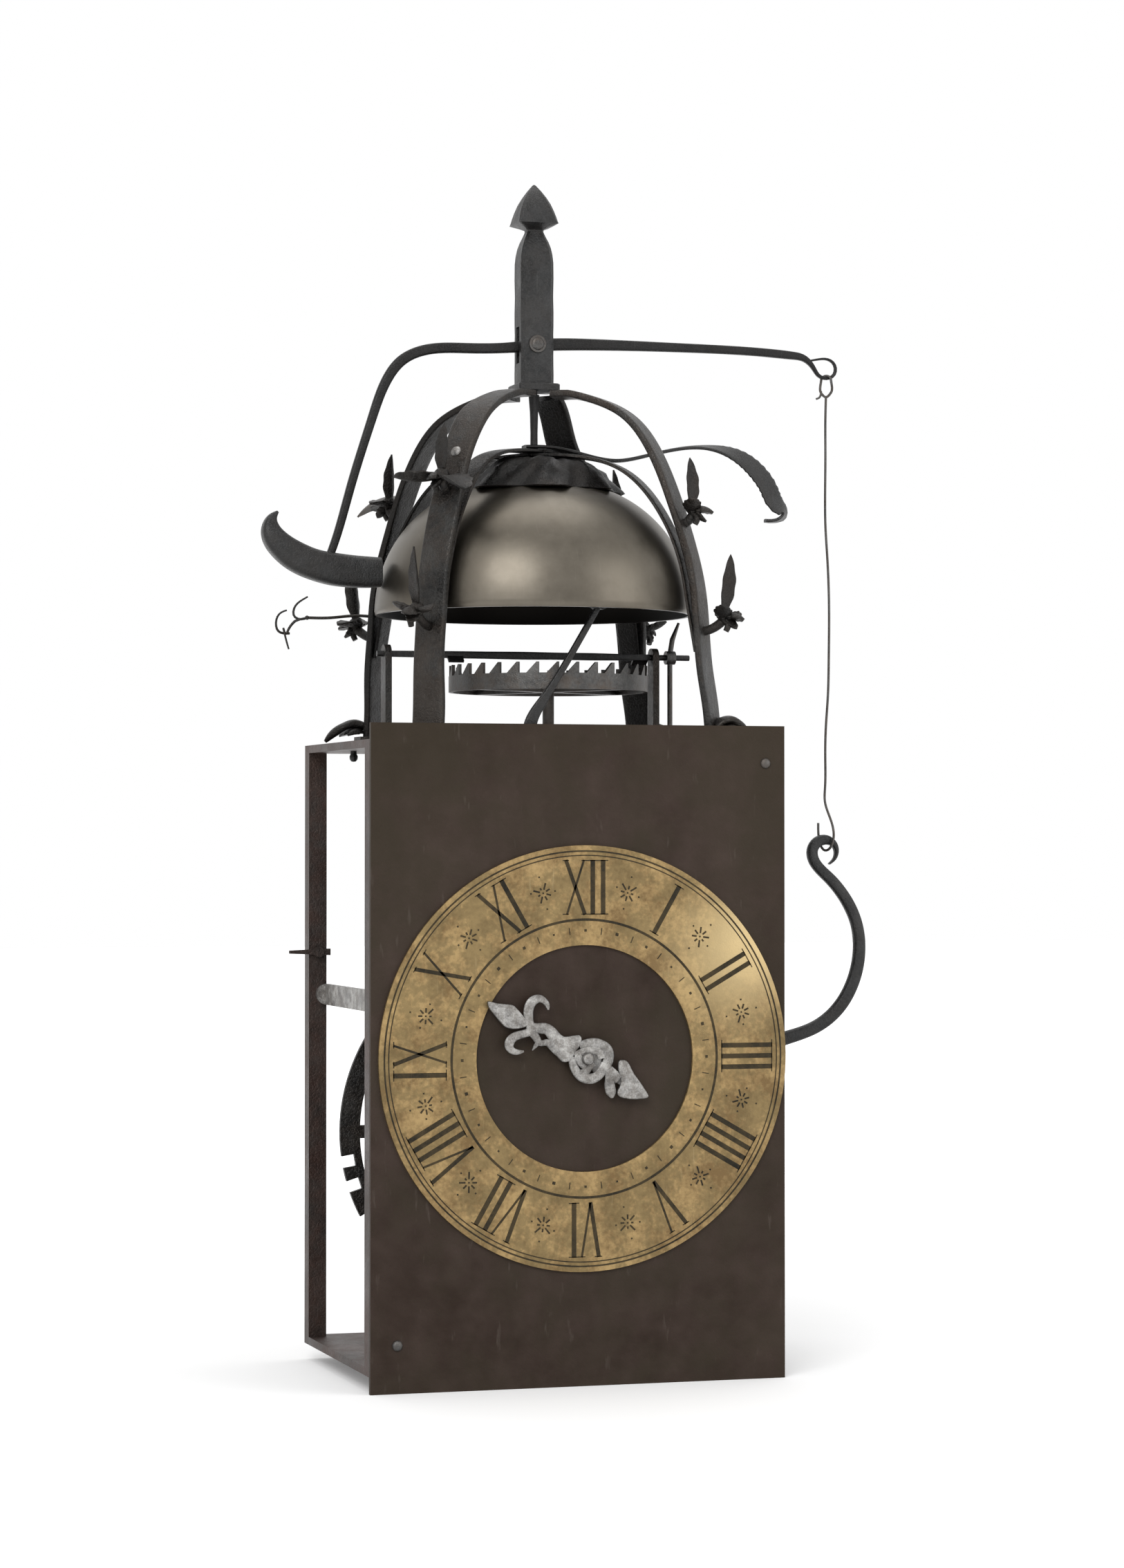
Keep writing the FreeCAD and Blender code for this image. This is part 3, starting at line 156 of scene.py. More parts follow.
# A bar in an upright plane: line holds (along, z, half height, half width) rows, base
# is a point of the plane's axis, out its direction and the plane's normal is across. A
# fifth column turns the section about the path, in degrees.
def planeBar(line, base, out, power=5, seed=0, wave=0.06, cols=20):
    path = base + line[:, :1] * out + line[:, 1:2] * np.array([0, 0, 1.0])
    tangent = np.gradient(path, axis=0)
    tangent /= np.linalg.norm(tangent, axis=1)[:, None]
    normal = np.cross(out, [0, 0, 1.0])
    side = np.cross(normal, tangent)
    if line.shape[1] > 4:
        a = np.radians(line[:, 4:5])
        side, normal = side * np.cos(a) + normal * np.sin(a), normal * np.cos(a) - side * np.sin(a)
    grow = forgedWave(len(line), wave, seed)[:, None]
    return carry(path, side * line[:, 2:3] * grow, normal * line[:, 3:4] * (2 - grow), barSection(power, cols))


# A bowl or knob turned about an upright axis: radius and height pairs round a circle.
def turned(profile, centre, count=96):
    profile = np.asarray(profile, float)
    a = np.linspace(0, 2 * np.pi, count, endpoint=False)
    ring = np.stack([np.cos(a), np.sin(a), np.zeros(count)], -1)
    grid = profile[:, None, :1] * ring[None] + profile[:, None, 1:] * np.array([0, 0, 1.0])
    return grid.reshape(-1, 3) + centre, gridFaces(len(profile), count)


# A disc-like knob turned about an axis along Y: the same, laid over.
def turnedAcross(profile, x, z, count=32):
    points, faces = turned(profile, np.zeros(3), count)
    return np.stack([points[:, 0] + x, points[:, 2], points[:, 1] + z], -1), faces


# A leaf or petal: width goes as sin(pi * u^skew)^blunt, its line bends by an angle over
# its length, and its edges lean forward by cup. Front and back meet in thin edges.
def leafBlade(origin, forward, facing, length, width, thick=1.4, bend=0.0, cup=0.2, skew=0.75,
              twist=0.0, rows=20, cols=7, wavy=0.0, rootWidth=0.0, blunt=0.8):
    forward = np.array(forward, float) / np.linalg.norm(forward)
    facing = np.array(facing, float)
    facing -= forward * facing.dot(forward)
    facing /= np.linalg.norm(facing)
    across = np.cross(forward, facing)
    u = np.linspace(0, 1, rows)
    turn = np.radians(bend) * u
    step = forward * np.cos(turn)[:, None] + facing * np.sin(turn)[:, None]
    line = np.array(origin, float) + np.cumsum(step, 0) * length / rows - step[:1] * length / rows
    out = -forward * np.sin(turn)[:, None] + facing * np.cos(turn)[:, None]
    half = width / 2 * np.maximum(np.maximum(np.sin(np.pi * u ** skew), 0) ** blunt, rootWidth * (1 - u) ** 0.5) + 0.12
    half = half * (1 + wavy * np.sin(u * 23))
    spin = np.radians(twist) * u
    wide = across * np.cos(spin)[:, None] + out * np.sin(spin)[:, None]
    out = out * np.cos(spin)[:, None] - across * np.sin(spin)[:, None]
    v = np.r_[np.linspace(-1, 1, cols), np.linspace(1, -1, cols)]
    face = np.r_[np.ones(cols), -np.ones(cols)]
    body = thick / 2 * face * (1 - 0.75 * np.abs(v) ** 2.5)
    rise = cup * v ** 2
    taper = (0.35 + 0.65 * np.sin(np.pi * np.clip(u * 0.9 + 0.08, 0, 1)))[:, None]
    grid = (line[:, None] + wide[:, None] * (half[:, None] * v)[:, :, None]
            + out[:, None] * (body * taper + rise * half[:, None])[:, :, None])
    n = 2 * cols
    points = np.concatenate([grid.reshape(-1, 3), line[:1], line[-1:]])
    k = np.arange(n)
    first = np.stack([(k + 1) % n, k, np.full(n, rows * n)], -1)
    last = np.stack([k + (rows - 1) * n, (k + 1) % n + (rows - 1) * n, np.full(n, rows * n + 1)], -1)
    return points, gridFaces(rows, n) + first.tolist() + last.tolist()


# A round wire along any path in space: the section stands on the path's own turning
# frame, worked out from a fixed reference direction.
def wireAlong(path, radius, reference=(0, 1.0, 0), cols=10):
    path = np.asarray(path, float)
    tangent = np.gradient(path, axis=0)
    tangent /= np.linalg.norm(tangent, axis=1)[:, None]
    side = np.cross(tangent, reference)
    side /= np.linalg.norm(side, axis=1)[:, None]
    across = np.cross(tangent, side)
    radius = np.broadcast_to(np.asarray(radius, float), len(path))[:, None]
    return carry(path, side * radius, across * radius, barSection(2, cols))


# A ring of round bar: centre, the plane's two directions and its two radii.
def ringBar(centre, first, second, radius, bar, count=40, cols=12, flat=1.0):
    a = np.linspace(0, 2 * np.pi, count, endpoint=False)
    first, second = np.array(first, float), np.array(second, float)
    normal = np.cross(first, second)
    out = first * np.cos(a)[:, None] + second * np.sin(a)[:, None]
    b = np.linspace(0, 2 * np.pi, cols, endpoint=False)
    grid = (np.array(centre) + out[:, None] * (radius + bar * np.cos(b))[None, :, None]
            + normal * (bar * flat * np.sin(b))[None, :, None])
    a0 = np.arange(count)[:, None] * cols
    a1 = (np.arange(count)[:, None] + 1) % count * cols
    c = np.arange(cols)[None]
    faces = np.stack([a0 + c, a0 + (c + 1) % cols, a1 + (c + 1) % cols, a1 + c], -1)
    return grid.reshape(-1, 3), faces.reshape(-1, 4).tolist()


# Cuts the corners of a closed outline: p before q gives p + c (q - p) and q + c (p - q).
def softOutline(outline, cut=0.2, times=2):
    o = np.asarray(outline, float)
    for _ in range(times):
        q = np.roll(o, -1, 0)
        o = np.stack([o + cut * (q - o), q + cut * (o - q)], 1).reshape(-1, 2)
    return o


# Flat plate cut to an outline in X and Z, from front to back in Y. Its front edge is
# rounded: inset e (1 - sin a) at depth e (1 - cos a).
def cutPlate(outline, front, back, edge=0.4):
    o = softOutline(outline)
    step = np.roll(o, -1, 0) - o
    n = np.stack([step[:, 1], -step[:, 0]], -1)
    n /= np.linalg.norm(n, axis=1)[:, None] + 1e-9
    area = (o[:, 0] * np.roll(o[:, 1], -1) - np.roll(o[:, 0], -1) * o[:, 1]).sum()
    inward = -(n + np.roll(n, 1, 0)) * (0.5 if area > 0 else -0.5)
    a = np.radians([0, 30, 60, 90])
    layers = [(o + inward * edge * (1 - np.sin(k)), front + edge * (1 - np.cos(k))) for k in a] + [(o, back)]
    points = np.concatenate([np.stack([q[:, 0], np.full(len(o), y), q[:, 1]], -1) for q, y in layers])
    k = len(o)
    faces = gridFaces(len(layers), k)
    faces += [list(range(k)), list(range(4 * k, 5 * k))[::-1]]
    return points, faces


# ---- finishes

# Starts a node group with named inputs and outputs.
def startGroup(name, inputs, outputs):
    group = bpy.data.node_groups.new(name, "ShaderNodeTree")
    for label, kind, value in inputs:
        socket = group.interface.new_socket(label, in_out="INPUT", socket_type="NodeSocket" + kind)
        socket.default_value = value
    for label, kind in outputs:
        group.interface.new_socket(label, in_out="OUTPUT", socket_type="NodeSocket" + kind)
    nodes = group.nodes
    return group, nodes.new("NodeGroupInput"), nodes.new("NodeGroupOutput")


# Two noises of one pattern, a large and a small one, that mix two colours.
def makeMottleGroup():
    group, gin, gout = startGroup("mottle", [
        ("First", "Color", (0.1, 0.1, 0.1, 1)), ("Second", "Color", (0.2, 0.2, 0.2, 1)),
        ("Patch Size", "Float", 40.0), ("Speck Size", "Float", 400.0), ("Contrast", "Float", 2.0),
    ], [("Color", "Color"), ("Mask", "Float")])
    n, link = group.nodes, group.links.new
    coord = n.new("ShaderNodeTexCoord")
    patch, speck = n.new("ShaderNodeTexNoise"), n.new("ShaderNodeTexNoise")
    for noise, size in ((patch, "Patch Size"), (speck, "Speck Size")):
        noise.inputs["Detail"].default_value = 6.0
        noise.inputs["Roughness"].default_value = 0.62
        link(coord.outputs["Object"], noise.inputs["Vector"])
        link(gin.outputs[size], noise.inputs["Scale"])
    both, shift, gain, low = (n.new("ShaderNodeMath") for _ in range(4))
    both.operation, shift.operation, gain.operation = "MULTIPLY_ADD", "SUBTRACT", "MULTIPLY"
    both.inputs[1].default_value = 0.5
    link(speck.outputs["Fac"], both.inputs[0])
    link(patch.outputs["Fac"], both.inputs[2])
    shift.inputs[1].default_value = 0.75
    link(both.outputs[0], shift.inputs[0])
    link(shift.outputs[0], gain.inputs[0])
    link(gin.outputs["Contrast"], gain.inputs[1])
    low.operation = "ADD"
    low.use_clamp = True
    low.inputs[1].default_value = 0.5
    link(gain.outputs[0], low.inputs[0])
    mix = n.new("ShaderNodeMix")
    mix.data_type = "RGBA"
    link(low.outputs[0], mix.inputs["Factor"])
    link(gin.outputs["First"], mix.inputs["A"])
    link(gin.outputs["Second"], mix.inputs["B"])
    link(mix.outputs["Result"], gout.inputs["Color"])
    link(low.outputs[0], gout.inputs["Mask"])
    return group


# Hammered and pitted skin: a soft large relief and small pits, as a height.
def makeSkinGroup():
    group, gin, gout = startGroup("forgedSkin", [
        ("Hammer Size", "Float", 160.0), ("Pit Size", "Float", 1500.0), ("Pit Share", "Float", 0.35),
    ], [("Height", "Float"), ("Pits", "Float")])
    n, link = group.nodes, group.links.new
    coord = n.new("ShaderNodeTexCoord")
    soft, pits = n.new("ShaderNodeTexNoise"), n.new("ShaderNodeTexNoise")
    for noise, size in ((soft, "Hammer Size"), (pits, "Pit Size")):
        noise.inputs["Detail"].default_value = 4.0
        link(coord.outputs["Object"], noise.inputs["Vector"])
        link(gin.outputs[size], noise.inputs["Scale"])
    ramp = n.new("ShaderNodeMapRange")
    ramp.inputs["From Min"].default_value = 0.36
    ramp.inputs["From Max"].default_value = 0.52
    link(pits.outputs["Fac"], ramp.inputs["Value"])
    add = n.new("ShaderNodeMath")
    add.operation = "MULTIPLY_ADD"
    link(ramp.outputs["Result"], add.inputs[0])
    link(gin.outputs["Pit Share"], add.inputs[1])
    link(soft.outputs["Fac"], add.inputs[2])
    link(add.outputs[0], gout.inputs["Height"])
    link(ramp.outputs["Result"], gout.inputs["Pits"])
    return group


# Lighter or darker scratches: a stretched noise cut to thin lines.
def makeScratchGroup():
    group, gin, gout = startGroup("scratches", [
        ("Size", "Float", 60.0), ("Stretch", "Float", 14.0), ("Cut", "Float", 0.72),
        ("Turn", "Vector", (0.3, 0.7, 0.2)),
    ], [("Mask", "Float")])
    n, link = group.nodes, group.links.new
    coord, mapping, noise = n.new("ShaderNodeTexCoord"), n.new("ShaderNodeMapping"), n.new("ShaderNodeTexNoise")
    combine = n.new("ShaderNodeCombineXYZ")
    combine.inputs["Y"].default_value = 1.0
    combine.inputs["Z"].default_value = 1.0
    link(gin.outputs["Stretch"], combine.inputs["X"])
    link(coord.outputs["Object"], mapping.inputs["Vector"])
    link(gin.outputs["Turn"], mapping.inputs["Rotation"])
    link(combine.outputs["Vector"], mapping.inputs["Scale"])
    link(mapping.outputs["Vector"], noise.inputs["Vector"])
    link(gin.outputs["Size"], noise.inputs["Scale"])
    noise.inputs["Detail"].default_value = 3.0
    above = n.new("ShaderNodeMapRange")
    link(noise.outputs["Fac"], above.inputs["Value"])
    link(gin.outputs["Cut"], above.inputs["From Min"])
    above.inputs["From Max"].default_value = 0.86
    link(above.outputs["Result"], gout.inputs["Mask"])
    return group


mottleGroup, skinGroup, scratchGroup = makeMottleGroup(), makeSkinGroup(), makeScratchGroup()


# Paints a highlight on a colour towards one side: share goes with the distance along a direction
# from a point of the piece, and falls off across it.
def addPaintedHighlight(n, link, before, glow):
    coord, mapping, split = (n.new("ShaderNode" + kind) for kind in ("TexCoord", "Mapping", "SeparateXYZ"))
    mapping.vector_type = "TEXTURE"
    mapping.inputs["Location"].default_value = glow["at"]
    mapping.inputs["Rotation"].default_value = (0, math.radians(glow["turn"]), 0)
    link(coord.outputs["Object"], mapping.inputs["Vector"])
    link(mapping.outputs["Vector"], split.inputs["Vector"])
    along, across, off, both, mix = (n.new("ShaderNode" + kind) for kind in
                                     ("MapRange", "Math", "MapRange", "Math", "Mix"))
    along.interpolation_type = off.interpolation_type = "SMOOTHSTEP"
    link(split.outputs["X"], along.inputs["Value"])
    along.inputs["From Min"].default_value, along.inputs["From Max"].default_value = glow["along"]
    across.operation, both.operation = "ABSOLUTE", "MULTIPLY"
    link(split.outputs["Z"], across.inputs[0])
    link(across.outputs[0], off.inputs["Value"])
    off.inputs["From Min"].default_value, off.inputs["From Max"].default_value = glow["across"]
    link(along.outputs["Result"], both.inputs[0])
    link(off.outputs["Result"], both.inputs[1])
    mix.data_type = "RGBA"
    link(both.outputs[0], mix.inputs["Factor"])
    link(before.outputs["Result"], mix.inputs["A"])
    mix.inputs["B"].default_value = (*glow["colour"], 1)
    return mix


# A metal or painted finish: mottled colour, scratches, a bumpy skin, a painted highlight where the look has one, and
# painted shade from the piece's share of black.
def makeFinish(name, look):
    material = bpy.data.materials.new(name)
    material.use_nodes = True
    n, link = material.node_tree.nodes, material.node_tree.links.new
    shader = n["Principled BSDF"]

    def addGroup(tree, values):
        node = n.new("ShaderNodeGroup")
        node.node_tree = tree
        for key, value in values.items():
            node.inputs[key].default_value = value
        return node
    mottle = addGroup(mottleGroup, {"First": (*look["dark"], 1), "Second": (*look["light"], 1),
                                    "Patch Size": look["patch"], "Speck Size": look["speck"],
                                    "Contrast": look["contrast"]})
    stain = addGroup(mottleGroup, {"First": (*look["stain"], 1), "Second": (*look["stain"], 1),
                                   "Patch Size": look["stainSize"], "Speck Size": look["stainSize"] * 7,
                                   "Contrast": look.get("stainContrast", 5.0)})
    scratch = addGroup(scratchGroup, {"Size": look.get("scratchSize", 60.0), "Cut": look.get("scratchCut", 0.66),
                                      "Stretch": look.get("scratchStretch", 14.0),
                                      "Turn": look.get("scratchTurn", (0.3, 0.7, 0.2))})
    skin = addGroup(skinGroup, {"Hammer Size": look["hammer"], "Pit Size": look["pits"],
                                "Pit Share": look.get("pitShare", 0.35)})
    stainShare, stained, marked = n.new("ShaderNodeMath"), n.new("ShaderNodeMix"), n.new("ShaderNodeMix")
    stainShare.operation = "MULTIPLY"
    stainShare.inputs[1].default_value = look.get("stainShare", 0.5)
    link(stain.outputs["Mask"], stainShare.inputs[0])
    for mix in (stained, marked):
        mix.data_type = "RGBA"
    link(stainShare.outputs[0], stained.inputs["Factor"])
    link(mottle.outputs["Color"], stained.inputs["A"])
    link(stain.outputs["Color"], stained.inputs["B"])
    scratchShare = n.new("ShaderNodeMath")
    scratchShare.operation = "MULTIPLY"
    scratchShare.inputs[1].default_value = look.get("scratchShare", 0.35)
    link(scratch.outputs["Mask"], scratchShare.inputs[0])
    link(scratchShare.outputs[0], marked.inputs["Factor"])
    link(stained.outputs["Result"], marked.inputs["A"])
    marked.inputs["B"].default_value = (*look["scratch"], 1)
    last = marked
    if "glow" in look:
        last = addPaintedHighlight(n, link, marked, look["glow"])
    # Painted shade: the piece's share of black mixes near black into the colour where the piece lies in shade; on a few
    # pieces it is a plain darkening.
    shadeAndBlack, shadedDark = n.new("ShaderNodeAttribute"), n.new("ShaderNodeMix")
    shadeAndBlack.attribute_name = "shadeAndBlack"
    shadedDark.data_type = "RGBA"
    shadedDark.inputs["B"].default_value = (0.0045, 0.0042, 0.004, 1)
    link(shadeAndBlack.outputs["Fac"], shadedDark.inputs["Factor"])
    link(last.outputs["Result"], shadedDark.inputs["A"])
    link(shadedDark.outputs["Result"], shader.inputs["Base Color"])
    rough = n.new("ShaderNodeMapRange")
    rough.inputs["To Min"].default_value = look["roughLow"]
    rough.inputs["To Max"].default_value = look["roughHigh"]
    link(mottle.outputs["Mask"], rough.inputs["Value"])
    link(rough.outputs["Result"], shader.inputs["Roughness"])
    shader.inputs["Metallic"].default_value = look["metal"]
    if "specular" in look:
        shader.inputs["Specular IOR Level"].default_value = look["specular"]
    bump = n.new("ShaderNodeBump")
    bump.inputs["Strength"].default_value = look["bump"]
    bump.inputs["Distance"].default_value = look["bumpDepth"]
    link(skin.outputs["Height"], bump.inputs["Height"])
    link(bump.outputs["Normal"], shader.inputs["Normal"])
    return material


forgedIron = makeFinish("forgedIron", {
    "dark": (0.016, 0.0155, 0.015), "light": (0.052, 0.050, 0.047), "patch": 55.0, "speck": 620.0,
    "contrast": 2.8, "stain": (0.040, 0.028, 0.020), "stainSize": 38.0, "stainShare": 0.45,
    "scratch": (0.20, 0.195, 0.185), "scratchShare": 0.3, "hammer": 190.0, "pits": 1300.0,
    "roughLow": 0.33, "roughHigh": 0.55, "metal": 0.75, "bump": 0.6, "bumpDepth": 0.0006,
})
frameIron = makeFinish("frameIron", {
    "dark": (0.030, 0.022, 0.019), "light": (0.066, 0.054, 0.048), "patch": 45.0, "speck": 500.0,
    "contrast": 2.4, "stain": (0.075, 0.038, 0.028), "stainSize": 30.0, "stainShare": 0.5,
    "scratch": (0.2, 0.18, 0.16), "scratchShare": 0.25, "hammer": 130.0, "pits": 1100.0,
    "roughLow": 0.4, "roughHigh": 0.62, "metal": 0.6, "bump": 0.4, "bumpDepth": 0.0005,
})
dialPaint = makeFinish("dialPaint", {
    "dark": (0.026, 0.0165, 0.012), "light": (0.054, 0.038, 0.031), "patch": 11.0, "speck": 90.0,
    "contrast": 2.4, "stain": (0.032, 0.026, 0.016), "stainSize": 9.0, "stainShare": 0.6,
    "scratch": (0.12, 0.10, 0.085), "scratchShare": 0.5, "scratchSize": 70.0, "scratchCut": 0.66,
    "scratchStretch": 5.0, "scratchTurn": (0.2, 2.1, 0.3),
    "hammer": 60.0, "pits": 900.0, "roughLow": 0.42, "roughHigh": 0.62, "metal": 0.0, "specular": 0.1,
    "bump": 0.3, "bumpDepth": 0.0005,
})
ringBrass = makeFinish("ringBrass", {
    "dark": (0.165, 0.103, 0.040), "light": (0.380, 0.262, 0.114), "patch": 60.0, "speck": 620.0,
    "contrast": 3.6, "stain": (0.135, 0.100, 0.042), "stainSize": 85.0, "stainShare": 0.55,
    "stainContrast": 8.0, "scratch": (0.50, 0.40, 0.23), "scratchShare": 0.3, "hammer": 90.0,
    "pits": 1500.0, "roughLow": 0.36, "roughHigh": 0.55, "metal": 0.6, "bump": 0.25,
    "bumpDepth": 0.0004,
    # glow: a painted highlight where the turned ring catches the light, brighter along one direction from the dial's
    # centre
    "glow": {"at": (0.0014, 0.0, 0.1207), "turn": -33.0, "along": (0.035, 0.085), "across": (0.034, 0.002),
             "colour": (0.62, 0.47, 0.24)},
})
handSteel = makeFinish("handSteel", {
    "dark": (0.16, 0.155, 0.15), "light": (0.47, 0.46, 0.44), "patch": 200.0, "speck": 1500.0,
    "contrast": 3.4, "stain": (0.10, 0.085, 0.07), "stainSize": 220.0, "stainShare": 0.6,
    "scratch": (0.7, 0.69, 0.67), "scratchShare": 0.3, "hammer": 400.0, "pits": 2200.0,
    "roughLow": 0.34, "roughHigh": 0.5, "metal": 0.6, "bump": 0.4, "bumpDepth": 0.0003,
})
workedSteel = makeFinish("workedSteel", {
    "dark": (0.045, 0.044, 0.043), "light": (0.12, 0.118, 0.114), "patch": 90.0, "speck": 900.0,
    "contrast": 2.4, "stain": (0.08, 0.055, 0.038), "stainSize": 60.0, "stainShare": 0.4,
    "scratch": (0.32, 0.31, 0.29), "scratchShare": 0.35, "hammer": 260.0, "pits": 1700.0,
    "roughLow": 0.33, "roughHigh": 0.52, "metal": 0.85, "bump": 0.35, "bumpDepth": 0.0004,
})
darkSteel = makeFinish("darkSteel", {
    "dark": (0.0165, 0.0168, 0.017), "light": (0.043, 0.043, 0.043), "patch": 70.0, "speck": 800.0,
    "contrast": 2.6, "stain": (0.030, 0.026, 0.023), "stainSize": 50.0, "stainShare": 0.35,
    "scratch": (0.2, 0.2, 0.195), "scratchShare": 0.28, "hammer": 240.0, "pits": 1500.0,
    "roughLow": 0.32, "roughHigh": 0.5, "metal": 0.7, "bump": 0.45, "bumpDepth": 0.0005,
})
bellBronze = makeFinish("bellBronze", {
    "dark": (0.108, 0.095, 0.076), "light": (0.150, 0.134, 0.110), "patch": 26.0, "speck": 160.0,
    "contrast": 1.5, "stain": (0.082, 0.072, 0.058), "stainSize": 24.0, "stainShare": 0.4,
    "scratch": (0.30, 0.28, 0.24), "scratchShare": 0.2, "hammer": 60.0, "pits": 700.0,
    "pitShare": 0.02, "roughLow": 0.33, "roughHigh": 0.42, "metal": 1.0, "bump": 0.03, "bumpDepth": 0.0003,
})
pulleyWood = makeFinish("pulleyWood", {
    "dark": (0.12, 0.07, 0.04), "light": (0.25, 0.16, 0.09), "patch": 60.0, "speck": 300.0,
    "contrast": 3.0, "stain": (0.07, 0.045, 0.03), "stainSize": 50.0, "stainShare": 0.4,
    "scratch": (0.3, 0.22, 0.14), "scratchShare": 0.3, "hammer": 300.0, "pits": 900.0,
    "roughLow": 0.55, "roughHigh": 0.75, "metal": 0.0, "bump": 0.4, "bumpDepth": 0.0005,
})
engraving = makeFinish("engraving", {
    "dark": (0.010, 0.009, 0.006), "light": (0.034, 0.027, 0.016), "patch": 90.0, "speck": 900.0,
    "contrast": 2.8, "stain": (0.085, 0.060, 0.028), "stainSize": 60.0, "stainShare": 0.45,
    "scratch": (0.2, 0.15, 0.08), "scratchShare": 0.2, "hammer": 500.0, "pits": 2000.0,
    "roughLow": 0.5, "roughHigh": 0.7, "metal": 0.0, "specular": 0.15, "bump": 0.3, "bumpDepth": 0.0003,
})

nodeFinish = {
    "wrought_iron": frameIron, "dial_paint": dialPaint, "ring_brass": ringBrass,
    "worked_steel": workedSteel, "pulley_wood": pulleyWood, "bell_bronze": bellBronze,
}
ownFinish = {
    "side_straps": handSteel, "count_wheel": forgedIron, "bell_stem": darkSteel,
    "verge_cocks": forgedIron, "hammer_lugs": forgedIron, "verge": darkSteel,
}
for row in frame["record"]["subparts"]:
    slot = row.get("material_slot")
    node = frame["nodes"].get(row["node"])
    if node:
        material = ownFinish.get(row["node"], nodeFinish[slot])
        node.data.materials.clear()
        node.data.materials.append(material)
print("finishes made")


# ---- bell

bell = {"radius": 61.0, "rim": 287.0, "top": 339.0, "wall": 2.2, "rows": 60}


# Radius goes as cos(a)^0.82 and height as sin(a), outside and inside, closed at the lip.
def bellShape():
    a = np.linspace(0, np.pi / 2, bell["rows"])
    high = bell["top"] - bell["rim"]
    outer = np.stack([bell["radius"] * np.cos(a) ** 0.82, bell["rim"] + high * np.sin(a)], -1)
    inner = np.stack([(bell["radius"] - bell["wall"]) * np.cos(a) ** 0.82,
                      bell["rim"] + (high - bell["wall"]) * np.sin(a)], -1)
    outer[0, 0] -= 0.35
    lip = np.array([[bell["radius"] - 0.5, bell["rim"]], [bell["radius"] - bell["wall"] + 0.4, bell["rim"]]])
    hole = np.array([[1.32, outer[-1, 1]], [1.32, inner[-1, 1]]])
    profile = np.concatenate([lip[::-1], outer[:-1] + [0, 0.0], hole, inner[:-1][::-1]])
    profile[2:3, 1] += 0.35
    points, faces = turned(profile, bellAxis, 144)
    rows = len(profile)
    ends = gridFaces(2, 144)
    ends = [[a if a < 144 else a - 144 + (rows - 1) * 144 for a in face][::-1] for face in ends]
    return points, faces + ends


# Painted shade inside the bell: a share of black of nearly one where a point is nearer the axis than the outer curve by
# half the wall.
def bellInsideShade(p):
    rise = np.clip((p[:, 2] - bell["rim"]) / (bell["top"] - bell["rim"]), 0, 1)
    outer = bell["radius"] * np.sqrt(1 - rise ** 2) ** 0.82
    inside = np.hypot(p[:, 0] - bellAxis[0], p[:, 1] - bellAxis[1]) < outer - bell["wall"] * 0.6
    return np.where(inside & (p[:, 2] < bell["top"] - bell["wall"] * 0.7), 0.97, 0.0)


makePiece("bell_shell", bellShape(), "frame", bellBronze, ["bell"], shadeAndBlack=bellInsideShade)
print("bell made")


# ---- cage

cage = {
    "feet": {"front_left": (-56.4, 7.4), "front_right": (54.6, 7.4),
             "back_left": (-54.6, 97.5), "back_right": (55.8, 97.5)},
    "head": [(8.8, 371.6), (13, 371.5), (22, 369.5), (38.6, 361.6), (50, 346), (57.3, 328), (62.5, 312),
             (65.8, 298), (67.4, 283), (68.8, 266)],
    # the back right leg comes down straighter
    "ownHead": {"back_right": [(8.8, 371.6), (12.4, 367.5), (16, 360), (19.5, 352.8), (25.5, 346.6), (33.2, 340.8),
                               (42.7, 333), (52.7, 321.5), (60.2, 309), (64.7, 297), (67.2, 283), (68.8, 266)]},
    # The back legs' shares of black are painted shade, for they lie in shade behind the bell.
    "legWidth": 13.0, "legThick": 2.8, "shadedDark": {"back_left": 0.7, "back_right": 0.8},
    "sprayHeights": {"front_left": 336.0, "front_right": 326.0, "back_left": 332.0, "back_right": 328.0},
    "spread": {"front_left": 1.9},
    "toes": {"front_right": 0.75, "back_left": 1.0, "back_right": 0.75},
    "hoopThick": 1.4, "hoopWidth": {"front_left": 9.0, "front_right": 9.0, "back_left": 11.0, "back_right": 12.0},
    "hoop": [(66.4, 272), (65, 280), (63.6, 288), (60.8, 304), (51.6, 325.5), (36.5, 341.5), (22, 346.6),
             (0, 348.4)],
    "ownHoop": {"back_right": [(66.4, 272), (65, 280), (63.6, 288), (60.2, 303), (50, 320), (40, 331.5), (30, 339.5),
                               (20, 345.2), (0, 348.4)]},
}


# Reach, outward direction and sideways direction of a leg about the bell's axis.
def legDirections(name):
    x, y = cage["feet"][name]
    way = np.array([x, y, 0.0]) - bellAxis
    reach = np.linalg.norm(way)
    out = way / reach
    return reach, out, np.cross(out, [0, 0, 1.0])


# Distance of a leg's middle line from the bell's axis at a height.
def legReach(z, name=""):
    head = np.array(cage["ownHead"].get(name, cage["head"]))
    return float(np.interp(-z, -head[:, 1], head[:, 0]))


